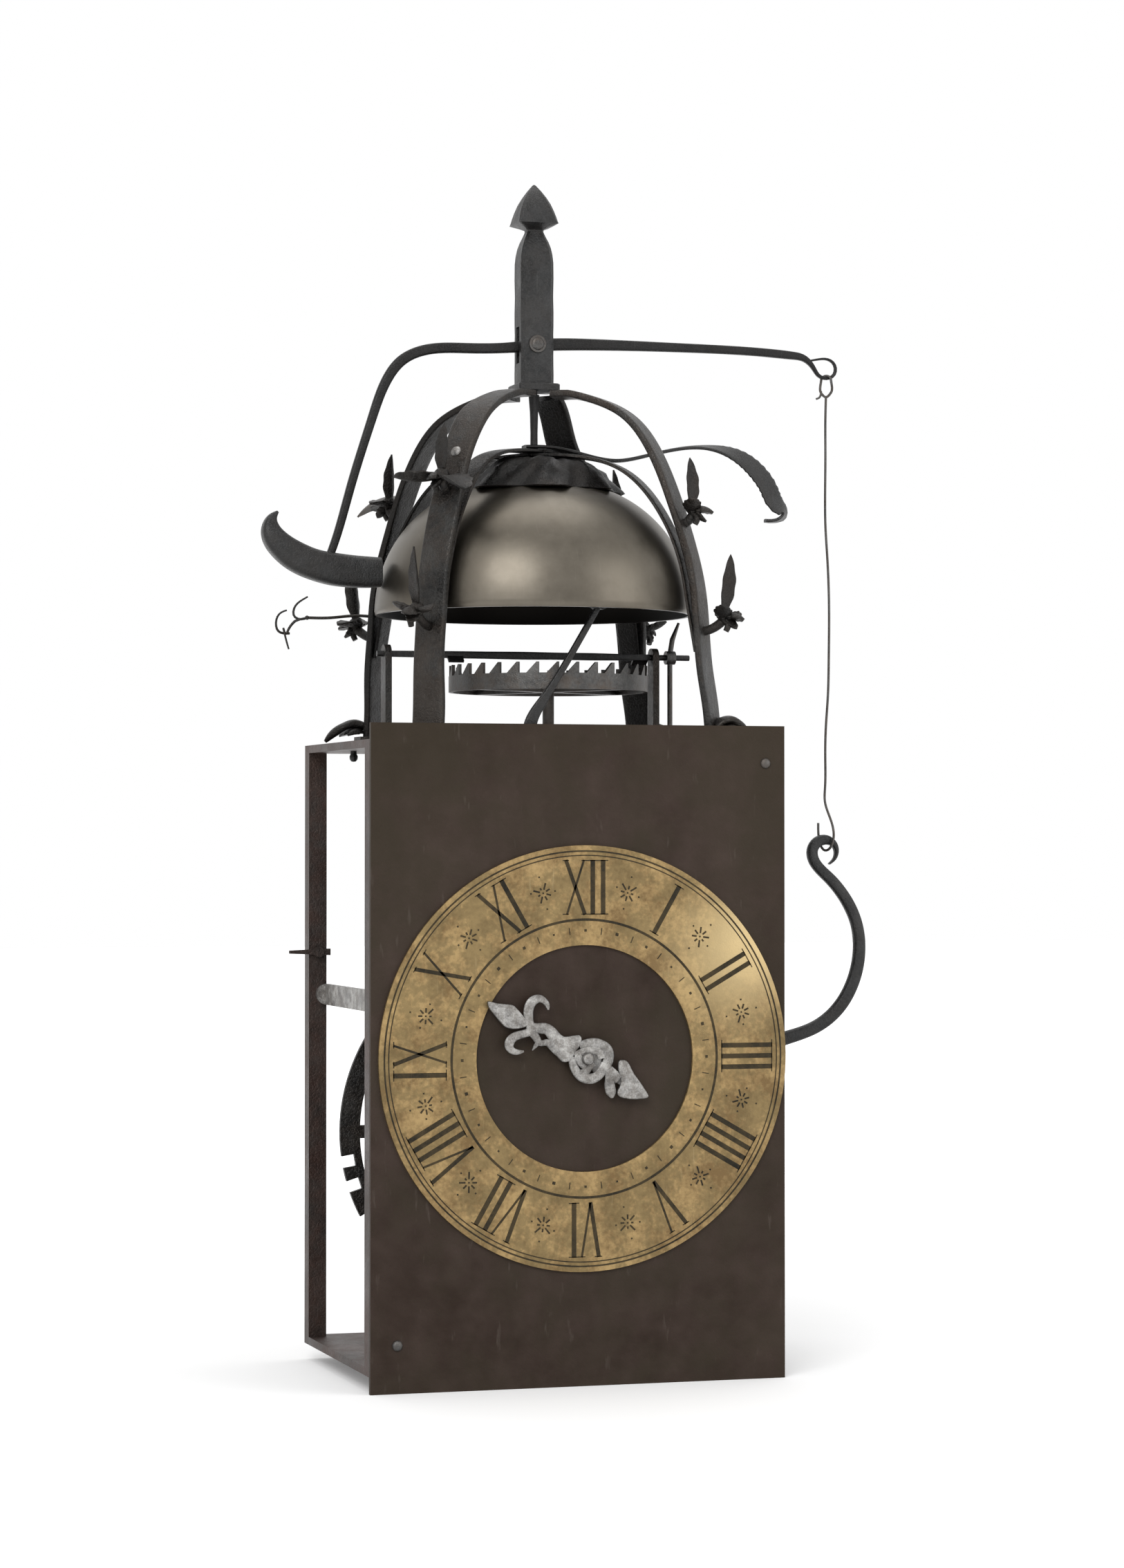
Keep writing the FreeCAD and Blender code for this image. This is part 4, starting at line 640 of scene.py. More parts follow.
# A spray: a stem off the leg, a boss, one tall petal, a drooping outer petal, a lower
# petal and two cups at the sides, with a small curl beside the boss.
def sprayShape(name, z0, reach, petal, lean, seed, spread=1.0):
    foot, out, normal = legDirections(name)
    up = np.array([0, 0, 1.0])
    s0 = legReach(z0 - 6, name)
    s1 = s0 + reach

    def at(s, z, side=0.0):
        return bellAxis + out * s + up * z + normal * side
    stem = np.stack([at(s0, z0 - 6), at(s0 + (s1 - s0) * 0.5, z0 - 4.6), at(s1, z0 - 1.5)])
    stem = smoothLine(stem, 9, 3)
    boss = np.stack([at(s1 - 3.0, z0 - 0.4), at(s1 - 1.5, z0 + 0.1), at(s1, z0), at(s1 + 1.5, z0 - 0.2),
                     at(s1 + 2.8, z0 - 0.8)])
    lean = math.radians(lean)
    tall = out * math.cos(lean) + up * math.sin(lean)
    twist = np.random.default_rng(seed).uniform(-35, 35, 6)
    curl = smoothLine(np.stack([at(s1 - 0.5, z0 - 1.5, 0.5), at(s1 + 1.8, z0 - 3.4, 1.2), at(s1 + 1.0, z0 - 6.0, 1.6)]),
                      10, 3)
    parts = [
        wireAlong(stem, np.linspace(1.7, 1.8, 9), normal),
        wireAlong(boss, [0.6, 2.7, 3.1, 2.3, 0.5], normal, cols=12),
        wireAlong(curl, np.linspace(1.5, 1.1, 10), up + normal * 0.3),
        leafBlade(at(s1 - 1.0, z0 - 0.5), tall, out + normal * 0.3, petal, 6.0, 1.8, bend=-8, cup=0.3,
                  skew=0.85, twist=twist[0], wavy=0.06, rootWidth=0.35),
        leafBlade(at(s1 - 0.5, z0), out * 0.98 + up * 0.14, up, 9.0, 6.6, 2.4, bend=-38, cup=-0.3,
                  twist=twist[1], wavy=0.07, rootWidth=0.6, blunt=0.5),
        leafBlade(at(s1, z0), out * 0.46 - up * 0.88, out, 7.5, 5.2, 2.2, bend=34, cup=0.3, twist=twist[2],
                  wavy=0.06, rootWidth=0.6, blunt=0.5),
    ]
    for side in (-1, 1):
        flat = normal * side * 0.88 + out * 0.47
        parts.append(leafBlade(at(s1 - 1, z0 - 0.5, side), flat * 0.98 + up * (0.6 - 0.4 * spread),
                               up - flat * 0.2, 9.8 * spread, 6.4 * spread, 2.4, bend=20 * side, cup=0.3, twist=twist[3 + (side > 0)], wavy=0.08,
                               rootWidth=0.7, blunt=0.5))
    return gather(parts)


# A toe is a leaf that humps up and runs out along the plate, with two small side
# leaves and a knob. Its size goes with k.
def toeShape(name, k, seed):
    x, y = cage["feet"][name]
    side = -1.0 if "left" in name else 1.0
    line = smoothLine([(-1, 243.6, 1.4, 4.6), (4.5 * k, 246.3, 1.7, 4.5), (10.5 * k, 244.9, 1.8, 3.6),
                       (15.0 * k, 241.8, 1.4, 2.2), (17.2 * k, 239.5, 0.6, 0.6)], 26)
    line[:, 2:] = np.maximum(line[:, 2:], 0.4)
    foot = np.array([x + side * 1.6, y, 0.0])
    parts = [planeBar(line, foot, np.array([side, 0, 0.0]), 2.6, seed, 0.16, 20)]
    for turn in (-1, 1):
        start = foot + np.array([side * 3.0 * k, turn * 1.2, 243.6])
        parts.append(leafBlade(start, (side * 0.72, turn * 0.62, 0.22), (0, 0, 1), 10.0 * k, 5.6 * k, 2.0,
                               bend=-46, cup=-0.35, rootWidth=0.6, wavy=0.08))
    knob = np.stack([foot + np.array([side * (7.0 + d) * k, 0, 245.6 - abs(d) * 0.3]) for d in (-2.4, -1.2, 0, 1.4, 2.6)])
    parts.append(wireAlong(knob, np.array([0.4, 1.7, 2.3, 1.9, 0.4]) * k, (0, 1, 0), 12))
    return parts


# A leg is a flat strap in its upright plane, with a toe at its foot where it has one.
def legShape(name, seed):
    reach, out, normal = legDirections(name)
    rows = [(s, z, cage["legThick"] / 2, cage["legWidth"] / 2)
            for s, z in cage["ownHead"].get(name, cage["head"])]
    rows += [(reach - 0.9, 250, 1.4, 6.5), (reach, 237.9, 1.4, 6.5)]
    line = smoothLine(rows, 70)
    line[:, 1] = np.minimum(line[:, 1], 372.6 - cage["legThick"] / 2)
    parts = [planeBar(line, bellAxis, out, 7, seed, 0.15, 24)]
    if name in cage["toes"]:
        parts += toeShape(name, cage["toes"][name], seed + 9)
    return gather(parts)


for k, name in enumerate(cage["feet"]):
    shade = cage["shadedDark"].get(name, 0.0)
    makePiece("cage_leg_" + name, legShape(name, k), "frame", forgedIron, ["leg_" + name],
              shadeAndBlack=lambda p, s=shade: s)
    sprays = [sprayShape(name, cage["sprayHeights"][name], 4.6, 21.0, 88, 20 + k, cage["spread"].get(name, 1.0)),
              sprayShape(name, 285.5, 9.0, 25.0, 78, 40 + k)]
    # The sprays are darkened by 0.4 all over, and on the back legs more, as painted shade.
    makePiece("leaf_spray_" + name, gather(sprays), "frame", forgedIron, ["spray_" + name],
              shadeAndBlack=lambda p, s=shade: 0.4 + s * 0.4)


# A forged cap lies on the bell's crown under the strips: a turned profile whose radius and
# height wave with the angle like eight pressed leaves. Its underside follows the bell. It is painted
# nearly black as painted shade, darker towards the right.
cap = {
    "top": [(5.0, 345.6), (13, 346.4), (19.5, 345.4), (25.0, 341.9), (29.0, 338.0), (32.6, 334.2)],
    "under": [(31.6, 333.7), (27.0, 335.7), (20.0, 337.8), (12.0, 339.0), (5.0, 339.4)],
    "lobes": 8, "wave": 0.06, "rise": 1.2, "shadedDark": 0.62,
}
profile = np.concatenate([smoothLine(np.array(cap["top"]), 26), np.array(cap["under"]), [cap["top"][0]]])
capPoints, capFaces = turned(profile, bellAxis, 120)
way = capPoints[:, :2] - bellAxis[:2]
angle, far = np.arctan2(way[:, 1], way[:, 0]), np.hypot(way[:, 0], way[:, 1])
lobe = np.cos(angle * cap["lobes"] + 0.6) + 0.5 * np.sin(angle * 3 + 1.1) + 0.45 * np.cos(angle * 19 + far * 0.5)
share = np.clip((far - 8) / 24, 0, 1)
capPoints[:, :2] = bellAxis[:2] + way * (1 + cap["wave"] * lobe * share)[:, None]
capPoints[:, 2] += np.where(capPoints[:, 2] > 340, cap["rise"] * lobe * share, 0)
# Painted shade: a share of black of 0.62, rising towards the right.
makePiece("crown_cap", (capPoints, capFaces), "frame", forgedIron,
          shadeAndBlack=lambda p: cap["shadedDark"] + np.clip(p[:, 0] / 30, 0, 1) * 0.3)
stem = {"profile": [(0, 341.6), (1.5, 341.7), (1.45, 350), (1.4, 357), (1.6, 365), (2.1, 371.6), (0, 372.2)]}
makePiece("stem_sleeve", turned(stem["profile"], bellAxis, 16), "frame", darkSteel)


# Two strips cross over the bell, each from one leg to the opposite leg.
def hoopShape(lift, pair, seed):
    halves = []
    for name in pair:
        reach, out, normal = legDirections(name)
        wide = cage["hoopWidth"][name] / 2
        line = smoothLine([(s, z + (lift if z > 340 else 0), cage["hoopThick"] / 2,
                            4.5 + (wide - 4.5) * min(max((z - 300) / 40, 0), 1))
                           for s, z in cage["ownHoop"].get(name, cage["hoop"])], 48)
        halves.append(planeBar(line, bellAxis, out, 6, seed, 0.05, 20))
    return halves


hoops = hoopShape(0.0, ("front_right", "back_left"), 3) + hoopShape(1.5, ("front_left", "back_right"), 4)
# The back halves are darkened as painted shade, more towards the back.
makePiece("hoop_strips", gather(hoops), "frame", forgedIron, ["bell_hoops"],
          shadeAndBlack=lambda p: np.clip((p[:, 1] - 44.0) / 12.0, 0, 1) * 0.85)
droop = {"at": (-40.0, 103.0, 335.5), "way": (-0.97, 0.1, 0.12), "length": 22.0, "width": 10.0, "bend": -58.0}
makePiece("drooping_leaf", leafBlade(droop["at"], droop["way"], (0, -0.35, 1), droop["length"], droop["width"], 1.8,
                                     bend=droop["bend"], cup=-0.25, rootWidth=0.5, wavy=0.05),
          "frame", workedSteel)
print("cage made")


# ---- arched leaf over the bell

arch = {
    # along X, height, half width, turn
    "line": [(-6.5, 351.6, 3.2, 0), (4.0, 351.6, 3.0, 0), (16, 349.6, 1.8, 0), (30.5, 347.4, 1.8, 0),
             (41.7, 349.4, 1.7, 0), (51.4, 351.8, 1.7, 4), (64.4, 353.6, 2.4, 14), (74.2, 352.6, 3.9, 32),
             (82, 349.6, 5.0, 46), (88.4, 344.6, 5.6, 52), (93, 338.4, 5.8, 54), (96.4, 332.4, 5.6, 50),
             (99.4, 328.4, 4.6, 30), (97, 326.4, 3.8, 10), (91.5, 325.8, 1.4, 0)],
    "thick": 0.7, "teeth": 0.05,
}
line = smoothLine([(x, z, arch["thick"], w, turn) for x, z, w, turn in arch["line"]], 150)
line[:, 3] = np.maximum(line[:, 3], 0.5) * (1 + arch["teeth"] * (line[:, 0] > 74) * np.sin(np.arange(150) * 1.9))
makePiece("arched_strip", planeBar(line, np.array([0, clock["bellY"], 0]), np.array([1.0, 0, 0]), 4, 11, 0.05, 20),
          "frame", darkSteel, ["arched_leaf"])


# ---- post with its slot and spearhead

# Rows of height, half width, half depth, chamfer, and how far the faces' middles stand out.
post = {
    "slot": (383.5, 397.5), "slotHalf": 2.0,
    "rows": [(373.0, 8.1, 8.1, 0.7, 0), (375.1, 8.1, 8.1, 0.7, 0), (375.5, 7.7, 7.7, 0.7, 0), (375.6, 6.5, 5.7, 1.3, 0),
             (379.0, 6.55, 5.75, 1.4, 0), (383.5, 6.5, 5.75, 1.5, 0), (386.5, 6.45, 5.75, 1.4, 0),
             (390.5, 6.5, 5.75, 1.3, 0), (394.5, 6.45, 5.75, 1.5, 0), (397.5, 6.5, 5.75, 1.4, 0),
             (403.0, 6.55, 5.75, 1.5, 0), (409.0, 6.45, 5.7, 1.6, 0), (416.0, 6.55, 5.75, 1.5, 0),
             (422.0, 6.5, 5.7, 1.5, 0), (425.0, 6.2, 5.45, 1.5, 0), (427.6, 5.7, 5.0, 1.4, 0),
             (430.0, 4.9, 4.3, 1.2, 0.1), (432.2, 3.9, 3.4, 1.0, 0.1), (434.0, 3.15, 2.8, 0.8, 0.1),
             (434.7, 3.2, 2.8, 0.7, 0.1), (435.6, 5.0, 4.4, 0.8, 0.15), (436.5, 7.2, 6.4, 0.8, 0.2),
             (436.9, 7.9, 7.1, 0.5, 0.2), (437.5, 7.7, 6.9, 0.7, 0.3), (439.6, 7.2, 6.5, 1.0, 0.45),
             (442.0, 6.5, 5.8, 1.2, 0.5), (444.6, 5.5, 4.95, 1.2, 0.5), (447.2, 4.1, 3.7, 1.0, 0.4),
             (449.6, 2.5, 2.3, 0.7, 0.3), (451.4, 1.1, 1.0, 0.35, 0.1), (452.2, 0.4, 0.4, 0.12, 0)],
}


# Sixteen points of a chamfered square at each row, with points at the slot's edges on
# both sides. The slot is a hole through the sides: its faces there are left out, and
# its walls join the points on the right to those on the left.
def postShape():
    rows = np.array(post["rows"])
    z, w, d, c, m = rows.T
    edge = d * post["slotHalf"] / 5.75
    zero = np.zeros_like(z)
    right = [(w, -(d - c)), (w, -edge), (w + m * 0.5, zero), (w, edge), (w, d - c)]
    back = [(w - c, d), (zero, d + m), (-(w - c), d)]
    left = [(-w, d - c), (-w, edge), (-w - m * 0.5, zero), (-w, -edge), (-w, -(d - c))]
    front = [(-(w - c), -d), (zero, -d - m), (w - c, -d)]
    grid = np.stack([np.stack([x, y, z], -1) for x, y in right + back + left + front], 1)
    lowRow, highRow = (int(np.argmin(np.abs(z - level))) for level in post["slot"])
    faces = []
    for k, face in enumerate(gridFaces(len(z), 16)):
        row, col = divmod(k, 16)
        if not (lowRow <= row < highRow and col in (1, 2, 9, 10)):
            faces.append(face)
    for a, b in ((1, 11), (3, 9)):
        faces += [[16 * r + a, 16 * r + b, 16 * r + 16 + b, 16 * r + 16 + a] for r in range(lowRow, highRow)]
    for r in (lowRow, highRow):
        faces += [[16 * r + 1, 16 * r + 2, 16 * r + 10, 16 * r + 11], [16 * r + 2, 16 * r + 3, 16 * r + 9, 16 * r + 10]]
    faces += [list(range(16))[::-1], list(range(16 * (len(z) - 1), 16 * len(z)))]
    return grid.reshape(-1, 3) + (clock["bellX"], clock["bellY"], 0), faces


makePiece("spear_post", postShape(), "frame", darkSteel, ["finial_post"], angle=24)
pinProfile = [(0, 44.4), (1.2, 44.42), (2.0, 44.6), (2.35, 44.95), (2.5, 45.15), (3.3, 45.2), (3.4, 45.4), (3.4, 45.72),
              (1.75, 45.72), (1.75, 57.28), (3.4, 57.28), (3.4, 57.6), (3.3, 57.8), (2.5, 57.85), (2.0, 58.4), (0, 58.6)]
makePiece("lever_rivet", turnedAcross(pinProfile, -2.8, 390.6, 36), "frame", workedSteel,
          ["lever_pin"])
print("post made")


# ---- top lever with its hammer

lever = {
    "pivot": (-2.8, 390.6),
    # along X, height, half height, half width
    "line": [(-84.3, 304.5, 1.5, 1.5), (-82.0, 310.2, 1.5, 1.5), (-74.8, 334, 1.6, 1.5), (-66.1, 361.5, 1.7, 1.5),
             (-60.6, 375.5, 1.9, 1.5), (-55, 382.8, 2, 1.5), (-46, 387.2, 2, 1.5), (-30, 388.6, 2, 1.5),
             (-11, 389.6, 2.1, 1.5), (-2.8, 390.6, 2.3, 1.5), (20, 391.8, 2.2, 1.5), (60, 392, 1.8, 1.5),
             (92, 391.4, 1.6, 1.5), (103.1, 390.7, 1.5, 1.5), (107.2, 390.0, 1.3, 1.4), (110.1, 388.1, 1.0, 1.2),
             (112.0, 385.7, 0.8, 1.0), (113.8, 383.3, 0.7, 0.9), (116.9, 382.3, 0.7, 0.8), (120, 383.5, 0.65, 0.8),
             (120.9, 386.1, 0.6, 0.8), (120.0, 388.4, 0.55, 0.8), (117.4, 389.8, 0.5, 0.8), (113.5, 389.6, 0.45, 0.7),
             (110.4, 389.0, 0.4, 0.6)],
    "horn": [(-63.3, 302.4, 5.7, 4.9), (-70, 302.4, 5.9, 5.0), (-76, 302.7, 6.0, 5.0), (-89, 304.9, 5.9, 5.0),
             (-100, 310.4, 5.2, 4.6), (-105.4, 317.6, 3.6, 3.8), (-104.8, 322.2, 1.7, 2.4), (-102.8, 324.4, 0.5, 0.9)],
}
side = np.array([1.0, 0, 0])
middle = np.array([0, clock["bellY"], 0])
leverParts = [
    planeBar(smoothLine(lever["line"], 230), middle, side, 3.4, 21, 0.05, 16),
    turnedAcross([(0, -1.5), (3.2, -1.5), (3.6, -1.1), (3.6, 1.1), (3.2, 1.5), (0, 1.5)], *lever["pivot"]),
]
leverParts[1][0][:, 1] += clock["bellY"]
# The lever is darkened all over by a share of black of 0.55.
makePiece("top_lever", gather(leverParts), "strike_lever", darkSteel, ["strike_lever"],
          shadeAndBlack=lambda p: 0.55)
makePiece("horn_hammer", planeBar(smoothLine(lever["horn"], 60), middle, side, 3.6, 22, 0.05, 24), "strike_lever",
          darkSteel, ["hammer_head"])
print("top lever made")


# ---- S lever and the pull wire

pull = {
    # along X, height, half height, half width
    "line": [(34, 119.3, 2.9, 2.0), (60, 119.6, 2.8, 2.0), (85, 121, 2.8, 2.0), (102, 124.8, 2.7, 2.0),
             (112.3, 128.4, 2.6, 2.0), (121, 134.8, 2.6, 2.0), (127, 143.7, 2.6, 2.0), (129.9, 152.6, 2.6, 2.0),
             (130.5, 162.3, 2.5, 2.0), (129.3, 169.0, 2.4, 2.0), (126.8, 175.0, 2.4, 2.0), (122.8, 181.2, 2.3, 2.0),
             (118.1, 186.4, 2.2, 2.0), (113.6, 190.6, 2.1, 2.0), (111.3, 194.2, 2.1, 2.0), (111.1, 197.7, 2.1, 2.0),
             (113.2, 200.6, 2.1, 2.0), (116.8, 201.4, 1.9, 1.9), (119.9, 199.8, 1.3, 1.8), (121.0, 197.0, 0.9, 1.6),
             (120.2, 194.0, 0.6, 1.4), (118.0, 192.0, 0.35, 1.2)],
}
pullParts = [planeBar(smoothLine(pull["line"], 190), middle, side, 2.8, 31, 0.07, 18)]
for low, high, radius in ((49.5, 53.5, 6.5), (53.5, 56.7, 3.0), (56.7, 86.5, 1.2), (57.3, 82.7, 2.4),
                          (59.2, 62.2, 5.0)):
    edge = min(0.4, radius * 0.3)
    pullParts.append(turnedAcross([(0, low), (radius - edge, low), (radius, low + edge), (radius, high - edge),
                                   (radius - edge, high), (0, high)], 30.0, 119.5))
tail = smoothLine([(30, 119.5, 3.0, 1.5), (25.0, 105.5, 2.4, 1.5), (17.5, 88.5, 1.4, 1.5)], 30)
pullParts.append(planeBar(tail, np.array([0, 60.7, 0]), side, 5, 32, 0.04, 16))
makePiece("s_lever", gather(pullParts), "pull_lever", darkSteel, ["pull_lever"])

# One wire: a narrow eye hung in the top lever's end, a slightly wavy run down, and an
# open hook through the S lever's rolled end. Points are X, Y, Z.
wire = {
    "radius": 0.5, "eyeAt": (117.0, 51.5), "eyeHalf": 2.1, "eyeTurn": -45.0, "eyeLow": 376.6, "eyeHigh": 381.6,
    "tail": [(115.5, 53.0, 377.4), (115.2, 53.0, 375.6), (114.3, 52.6, 374.6), (113.2, 52.2, 374.2)],
    "run": [(116.95, 51.5, 375.0), (116.7, 51.5, 366), (116.7, 51.5, 352), (116.6, 51.6, 338), (116.7, 51.5, 324),
            (117.4, 51.4, 312), (118.0, 51.5, 300), (118.2, 51.6, 288), (118.0, 51.5, 272), (117.6, 51.4, 258),
            (116.8, 51.5, 246), (116.5, 51.5, 234), (116.4, 51.5, 222), (116.3, 51.4, 216.4), (117.4, 51.0, 212.2),
            (118.8, 50.0, 207.4), (119.0, 48.9, 203.4), (118.4, 48.5, 200.4), (117.4, 49.7, 197.9),
            (116.4, 51.8, 197.3), (115.4, 54.0, 199.4), (114.7, 54.3, 203.2), (114.4, 53.8, 208.0)],
}
turn = math.radians(wire["eyeTurn"])
wide = np.array([math.cos(turn), math.sin(turn), 0.0]) * wire["eyeHalf"]
a = np.linspace(0, np.pi, 16)
heart = np.array([*wire["eyeAt"], 0.0])
up = np.array([0, 0, 1.0])
over = heart - wide * np.cos(a)[:, None] + up * (wire["eyeHigh"] + wire["eyeHalf"] * 0.8 * np.sin(a))[:, None]
low = np.linspace(0, 1, 8)[:, None]
closing = heart + wide * (1 - low) ** 0.6 + up * (wire["eyeLow"] - 1.7 * low)
opening = heart - wide * low ** 0.6 + up * (wire["eyeLow"] - 1.7 * (1 - low))
eye = np.concatenate([opening, over, closing])
wireParts = [
    wireAlong(smoothLine(eye, 80, 3), wire["radius"], (-math.sin(turn), math.cos(turn), 0.0), 8),
    wireAlong(smoothLine(wire["tail"], 16, 3), wire["radius"] * 0.85, (0, 1, 0), 8),
    wireAlong(smoothLine(wire["run"], 260, 3), wire["radius"], (0.3, 1, 0.25), 8),
]
makePiece("iron_wire", gather(wireParts), "pull_wire", workedSteel, ["pull_wire"])
print("S lever and wire made")


# ---- inner hammer, pendulum, wire flower

inner = {
    "line": [(-18.2, 222.8, 3.3), (-18.2, 226, 3.4), (-18.2, 238, 2.9), (-17.6, 244.5, 2.4), (-13.5, 252, 1.7),
             (2.7, 278, 1.15), (8.6, 288.0, 0.95)],
}
line = smoothLine([(x, z, h, 1.2) for x, z, h in inner["line"]], 60)
innerParts = [planeBar(line, np.array([0, 5.0, 0]), side, 6, 41, 0.05, 16)]
for x, z, profile in (
        (8.6, 289.5, [(0, -1.0), (2.3, -1.0), (2.8, -0.5), (2.8, 7.5), (2.3, 8.0), (0, 8.0)]),):
    innerParts.append(turnedAcross(profile, x, z, 24))
for x0, x1, r in ((-32.5, -3.0, 1.2), (-22.5, -13.9, 2.6)):
    path = np.stack([np.linspace(x0, x1, 6), np.full(6, 5.0), np.full(6, 226.0)], -1)
    innerParts.append(wireAlong(path, r, (0, 1, 0), 16))
makePiece("inner_striker", gather(innerParts), "inner_hammer", darkSteel, ["inner_hammer"])

flower = {
    "heart": (-81.0, 96.0, 287.5),
    "strokes": [[(0, 0), (-2.6, -0.6), (-4.8, 0.4), (-4.6, 4.2), (-1.6, 7.0), (0.4, 8.2)],
                [(-4.8, -1.4), (-7.6, -5.2), (-8.4, -6.6), (-9.4, -4.4), (-8.2, -10.2), (-7.6, -12.4)],
                [(-7.0, -6.2), (-11.6, -5.4), (-12.6, -1.4), (-11.2, 1.4), (-8.6, 2.6)],
                [(-4.8, -1.4), (-2.6, -0.6), (0, 0)]],
    "thick": 0.55,
}
heart = np.array(flower["heart"])
flowerParts = [wireAlong(smoothLine([(-53.0, 96, 288.2), (-62, 96.3, 288.6), (-72, 95.8, 287.6), tuple(heart)], 20, 3),
                         0.6, (0, 1, 0))]
for k, stroke in enumerate(flower["strokes"]):
    flat = smoothLine(stroke, 14)
    wave = np.sin(np.linspace(0, 2.6, 14) + k) * 1.2
    path = heart + np.stack([flat[:, 0], wave - wave[0], flat[:, 1]], -1)
    flowerParts.append(wireAlong(path, np.linspace(flower["thick"], 0.35, 14), (0.1, 1, 0.1)))
knob = turnedAcross([(0, -0.9), (0.6, -0.7), (0.9, 0), (0.6, 0.7), (0, 0.9)], heart[0], heart[2], 12)
knob[0][:, 1] += heart[1]
flowerParts.append(knob)
makePiece("wire_blossom", gather(flowerParts), "frame", forgedIron, ["wire_flower"])
print("inner hammer and wire flower made")


# ---- hour hand

# Sizes from the dial's centre, to the right and up: outlines of flat parts, and bars
# as (right, up, half width) rows with the depth of their front.
hand = {
    "back": -3.4, "front": -4.6,
    "blade": [(-38.4, 21.8), (-34.7, 20.9), (-31.3, 20.5), (-28.3, 20.2), (-26.2, 18.1), (-24.3, 15.8),
              (-22.6, 13.9), (-22.8, 12.2), (-26.4, 11.3), (-29.3, 11.3), (-31.5, 12.0), (-33.6, 14.2),
              (-35.7, 16.6), (-37.7, 19.1)],
    "block": [(-12.3, 8.2), (-7.5, 8.3), (-3.0, 9.0), (-2.0, 7.7), (-2.6, 4.8), (-4.5, 2.7), (-6.0, -0.8),
              (-9.4, -1.3), (-11.4, 0.6), (-12.9, 3.4)],
    "tail": [(12.0, -0.6), (15.6, -0.7), (17.8, -5.3), (21.4, -10.0), (24.6, -15.0), (17.7, -15.4), (12.8, -14.6),
             (11.2, -12.9), (13.3, -9.0), (12.0, -4.8)],
    "bars": [
        [[(-21.4, 10.4, 1.6), (-22.3, 14.3, 1.7), (-22.6, 17.5, 1.9), (-21.9, 20.2, 1.9), (-20.2, 21.9, 1.7),
          (-18.1, 22.3, 1.5), (-16.4, 21.4, 1.2), (-15.3, 19.8, 0.9), (-15.0, 18.2, 0.4)], -4.6],
        [[(-20.8, 10.6, 1.6), (-24.9, 9.4, 1.5), (-28.0, 8.4, 1.7), (-29.6, 6.8, 1.8), (-29.9, 5.0, 1.7),
          (-29.0, 3.6, 1.4), (-27.0, 2.9, 1.1), (-24.4, 3.1, 0.4)], -4.6],
        [[(-18.4, 6.8, 1.2), (-19.9, 5.0, 0.8), (-21.1, 3.4, 0.25)], -4.4],
        [[(-23.0, 12.6, 1.5), (-19.0, 11.5, 1.9), (-15.4, 11.1, 2.1), (-12.7, 8.4, 2.3), (-10.2, 6.4, 2.3),
          (-7.0, 5.2, 2.0)], -4.55],
        [[(-22.4, 11.0, 1.3), (-19.5, 7.9, 1.5), (-17.9, 6.0, 1.2), (-15.8, 6.2, 1.3), (-13.2, 4.9, 1.8),
          (-10.6, 2.9, 2.1), (-8.0, 1.5, 1.8)], -4.5],
        [[(-3.0, 4.6, 1.3), (-1.2, 5.4, 1.5), (2.4, 5.8, 1.8), (5.8, 4.7, 2.1), (7.8, 2.6, 2.2), (8.3, 0.2, 2.1),
          (7.4, -2.4, 1.9), (5.6, -4.6, 1.6)], -4.45],
        [[(-5.6, 0.8, 1.5), (-5.4, -1.9, 1.6), (-4.1, -4.7, 1.7), (-1.7, -6.8, 1.9), (1.2, -7.4, 1.9),
          (4.0, -6.4, 1.9), (5.8, -4.3, 1.8), (6.9, -1.8, 1.5)], -4.6],
        [[(-5.0, 1.2, 1.2), (-2.2, 2.5, 1.4), (1.5, 3.1, 1.6), (4.6, 2.3, 1.7), (5.6, 0.0, 1.5)], -4.6],
        [[(4.0, 2.6, 2.2), (3.4, -0.2, 2.3), (3.6, -2.6, 2.2), (4.6, -4.6, 1.9)], -4.2],
        [[(1.6, 3.0, 1.6), (1.7, 1.2, 1.5), (2.4, -0.6, 1.3)], -4.3],
        [[(-5.0, 0.8, 1.3), (-3.2, 0.2, 1.6), (-2.2, -1.6, 1.5), (-0.6, -3.0, 1.2)], -4.75],
        [[(8.4, -4.0, 1.6), (10.2, -6.0, 2.0), (12.2, -7.8, 1.8)], -4.6],
        [[(-2.6, -5.2, 1.2), (-0.8, -4.8, 1.6), (0.6, -3.4, 1.4), (2.6, -1.8, 1.4)], -4.5],
        [[(7.0, -2.6, 1.7), (8.7, -5.6, 1.9), (8.7, -9.8, 2.0), (9.4, -13.2, 1.7), (9.6, -14.6, 0.6)], -4.5],
        [[(8.0, -4.5, 1.1), (10.5, -6.6, 1.3), (13.6, -8.6, 1.6)], -4.1],
    ],
}
handParts = [cutPlate(np.array(hand[name]) + (clock["dialX"], clock["dialZ"]), hand["front"], hand["back"], edge)
             for name, edge in (("blade", 0.55), ("block", 0.55), ("tail", 0.6))]
for rows, front in hand["bars"]:
    half = (hand["back"] - front) / 2
    line = smoothLine([(x, z, w, half) for x, z, w in rows], 34)
    line[:, 2] = np.maximum(line[:, 2], 0.2)
    base = np.array([clock["dialX"], front + half, clock["dialZ"]])
    handParts.append(planeBar(line, base, np.array([1.0, 0, 0]), 2.7, 61, 0.04, 16))
# Painted shade where it lies deep: the share of black rises over half a millimetre behind the front.
makePiece("pierced_hand", gather(handParts), "hour", handSteel, ["hour_hand"],
          shadeAndBlack=lambda p: np.clip((p[:, 1] + 4.55) / 0.5, 0, 1) * 0.7)
headStud = [(0, -6.95), (1.0, -6.85), (1.9, -6.45), (2.3, -5.7), (2.3, -4.2), (0, -4.2)]
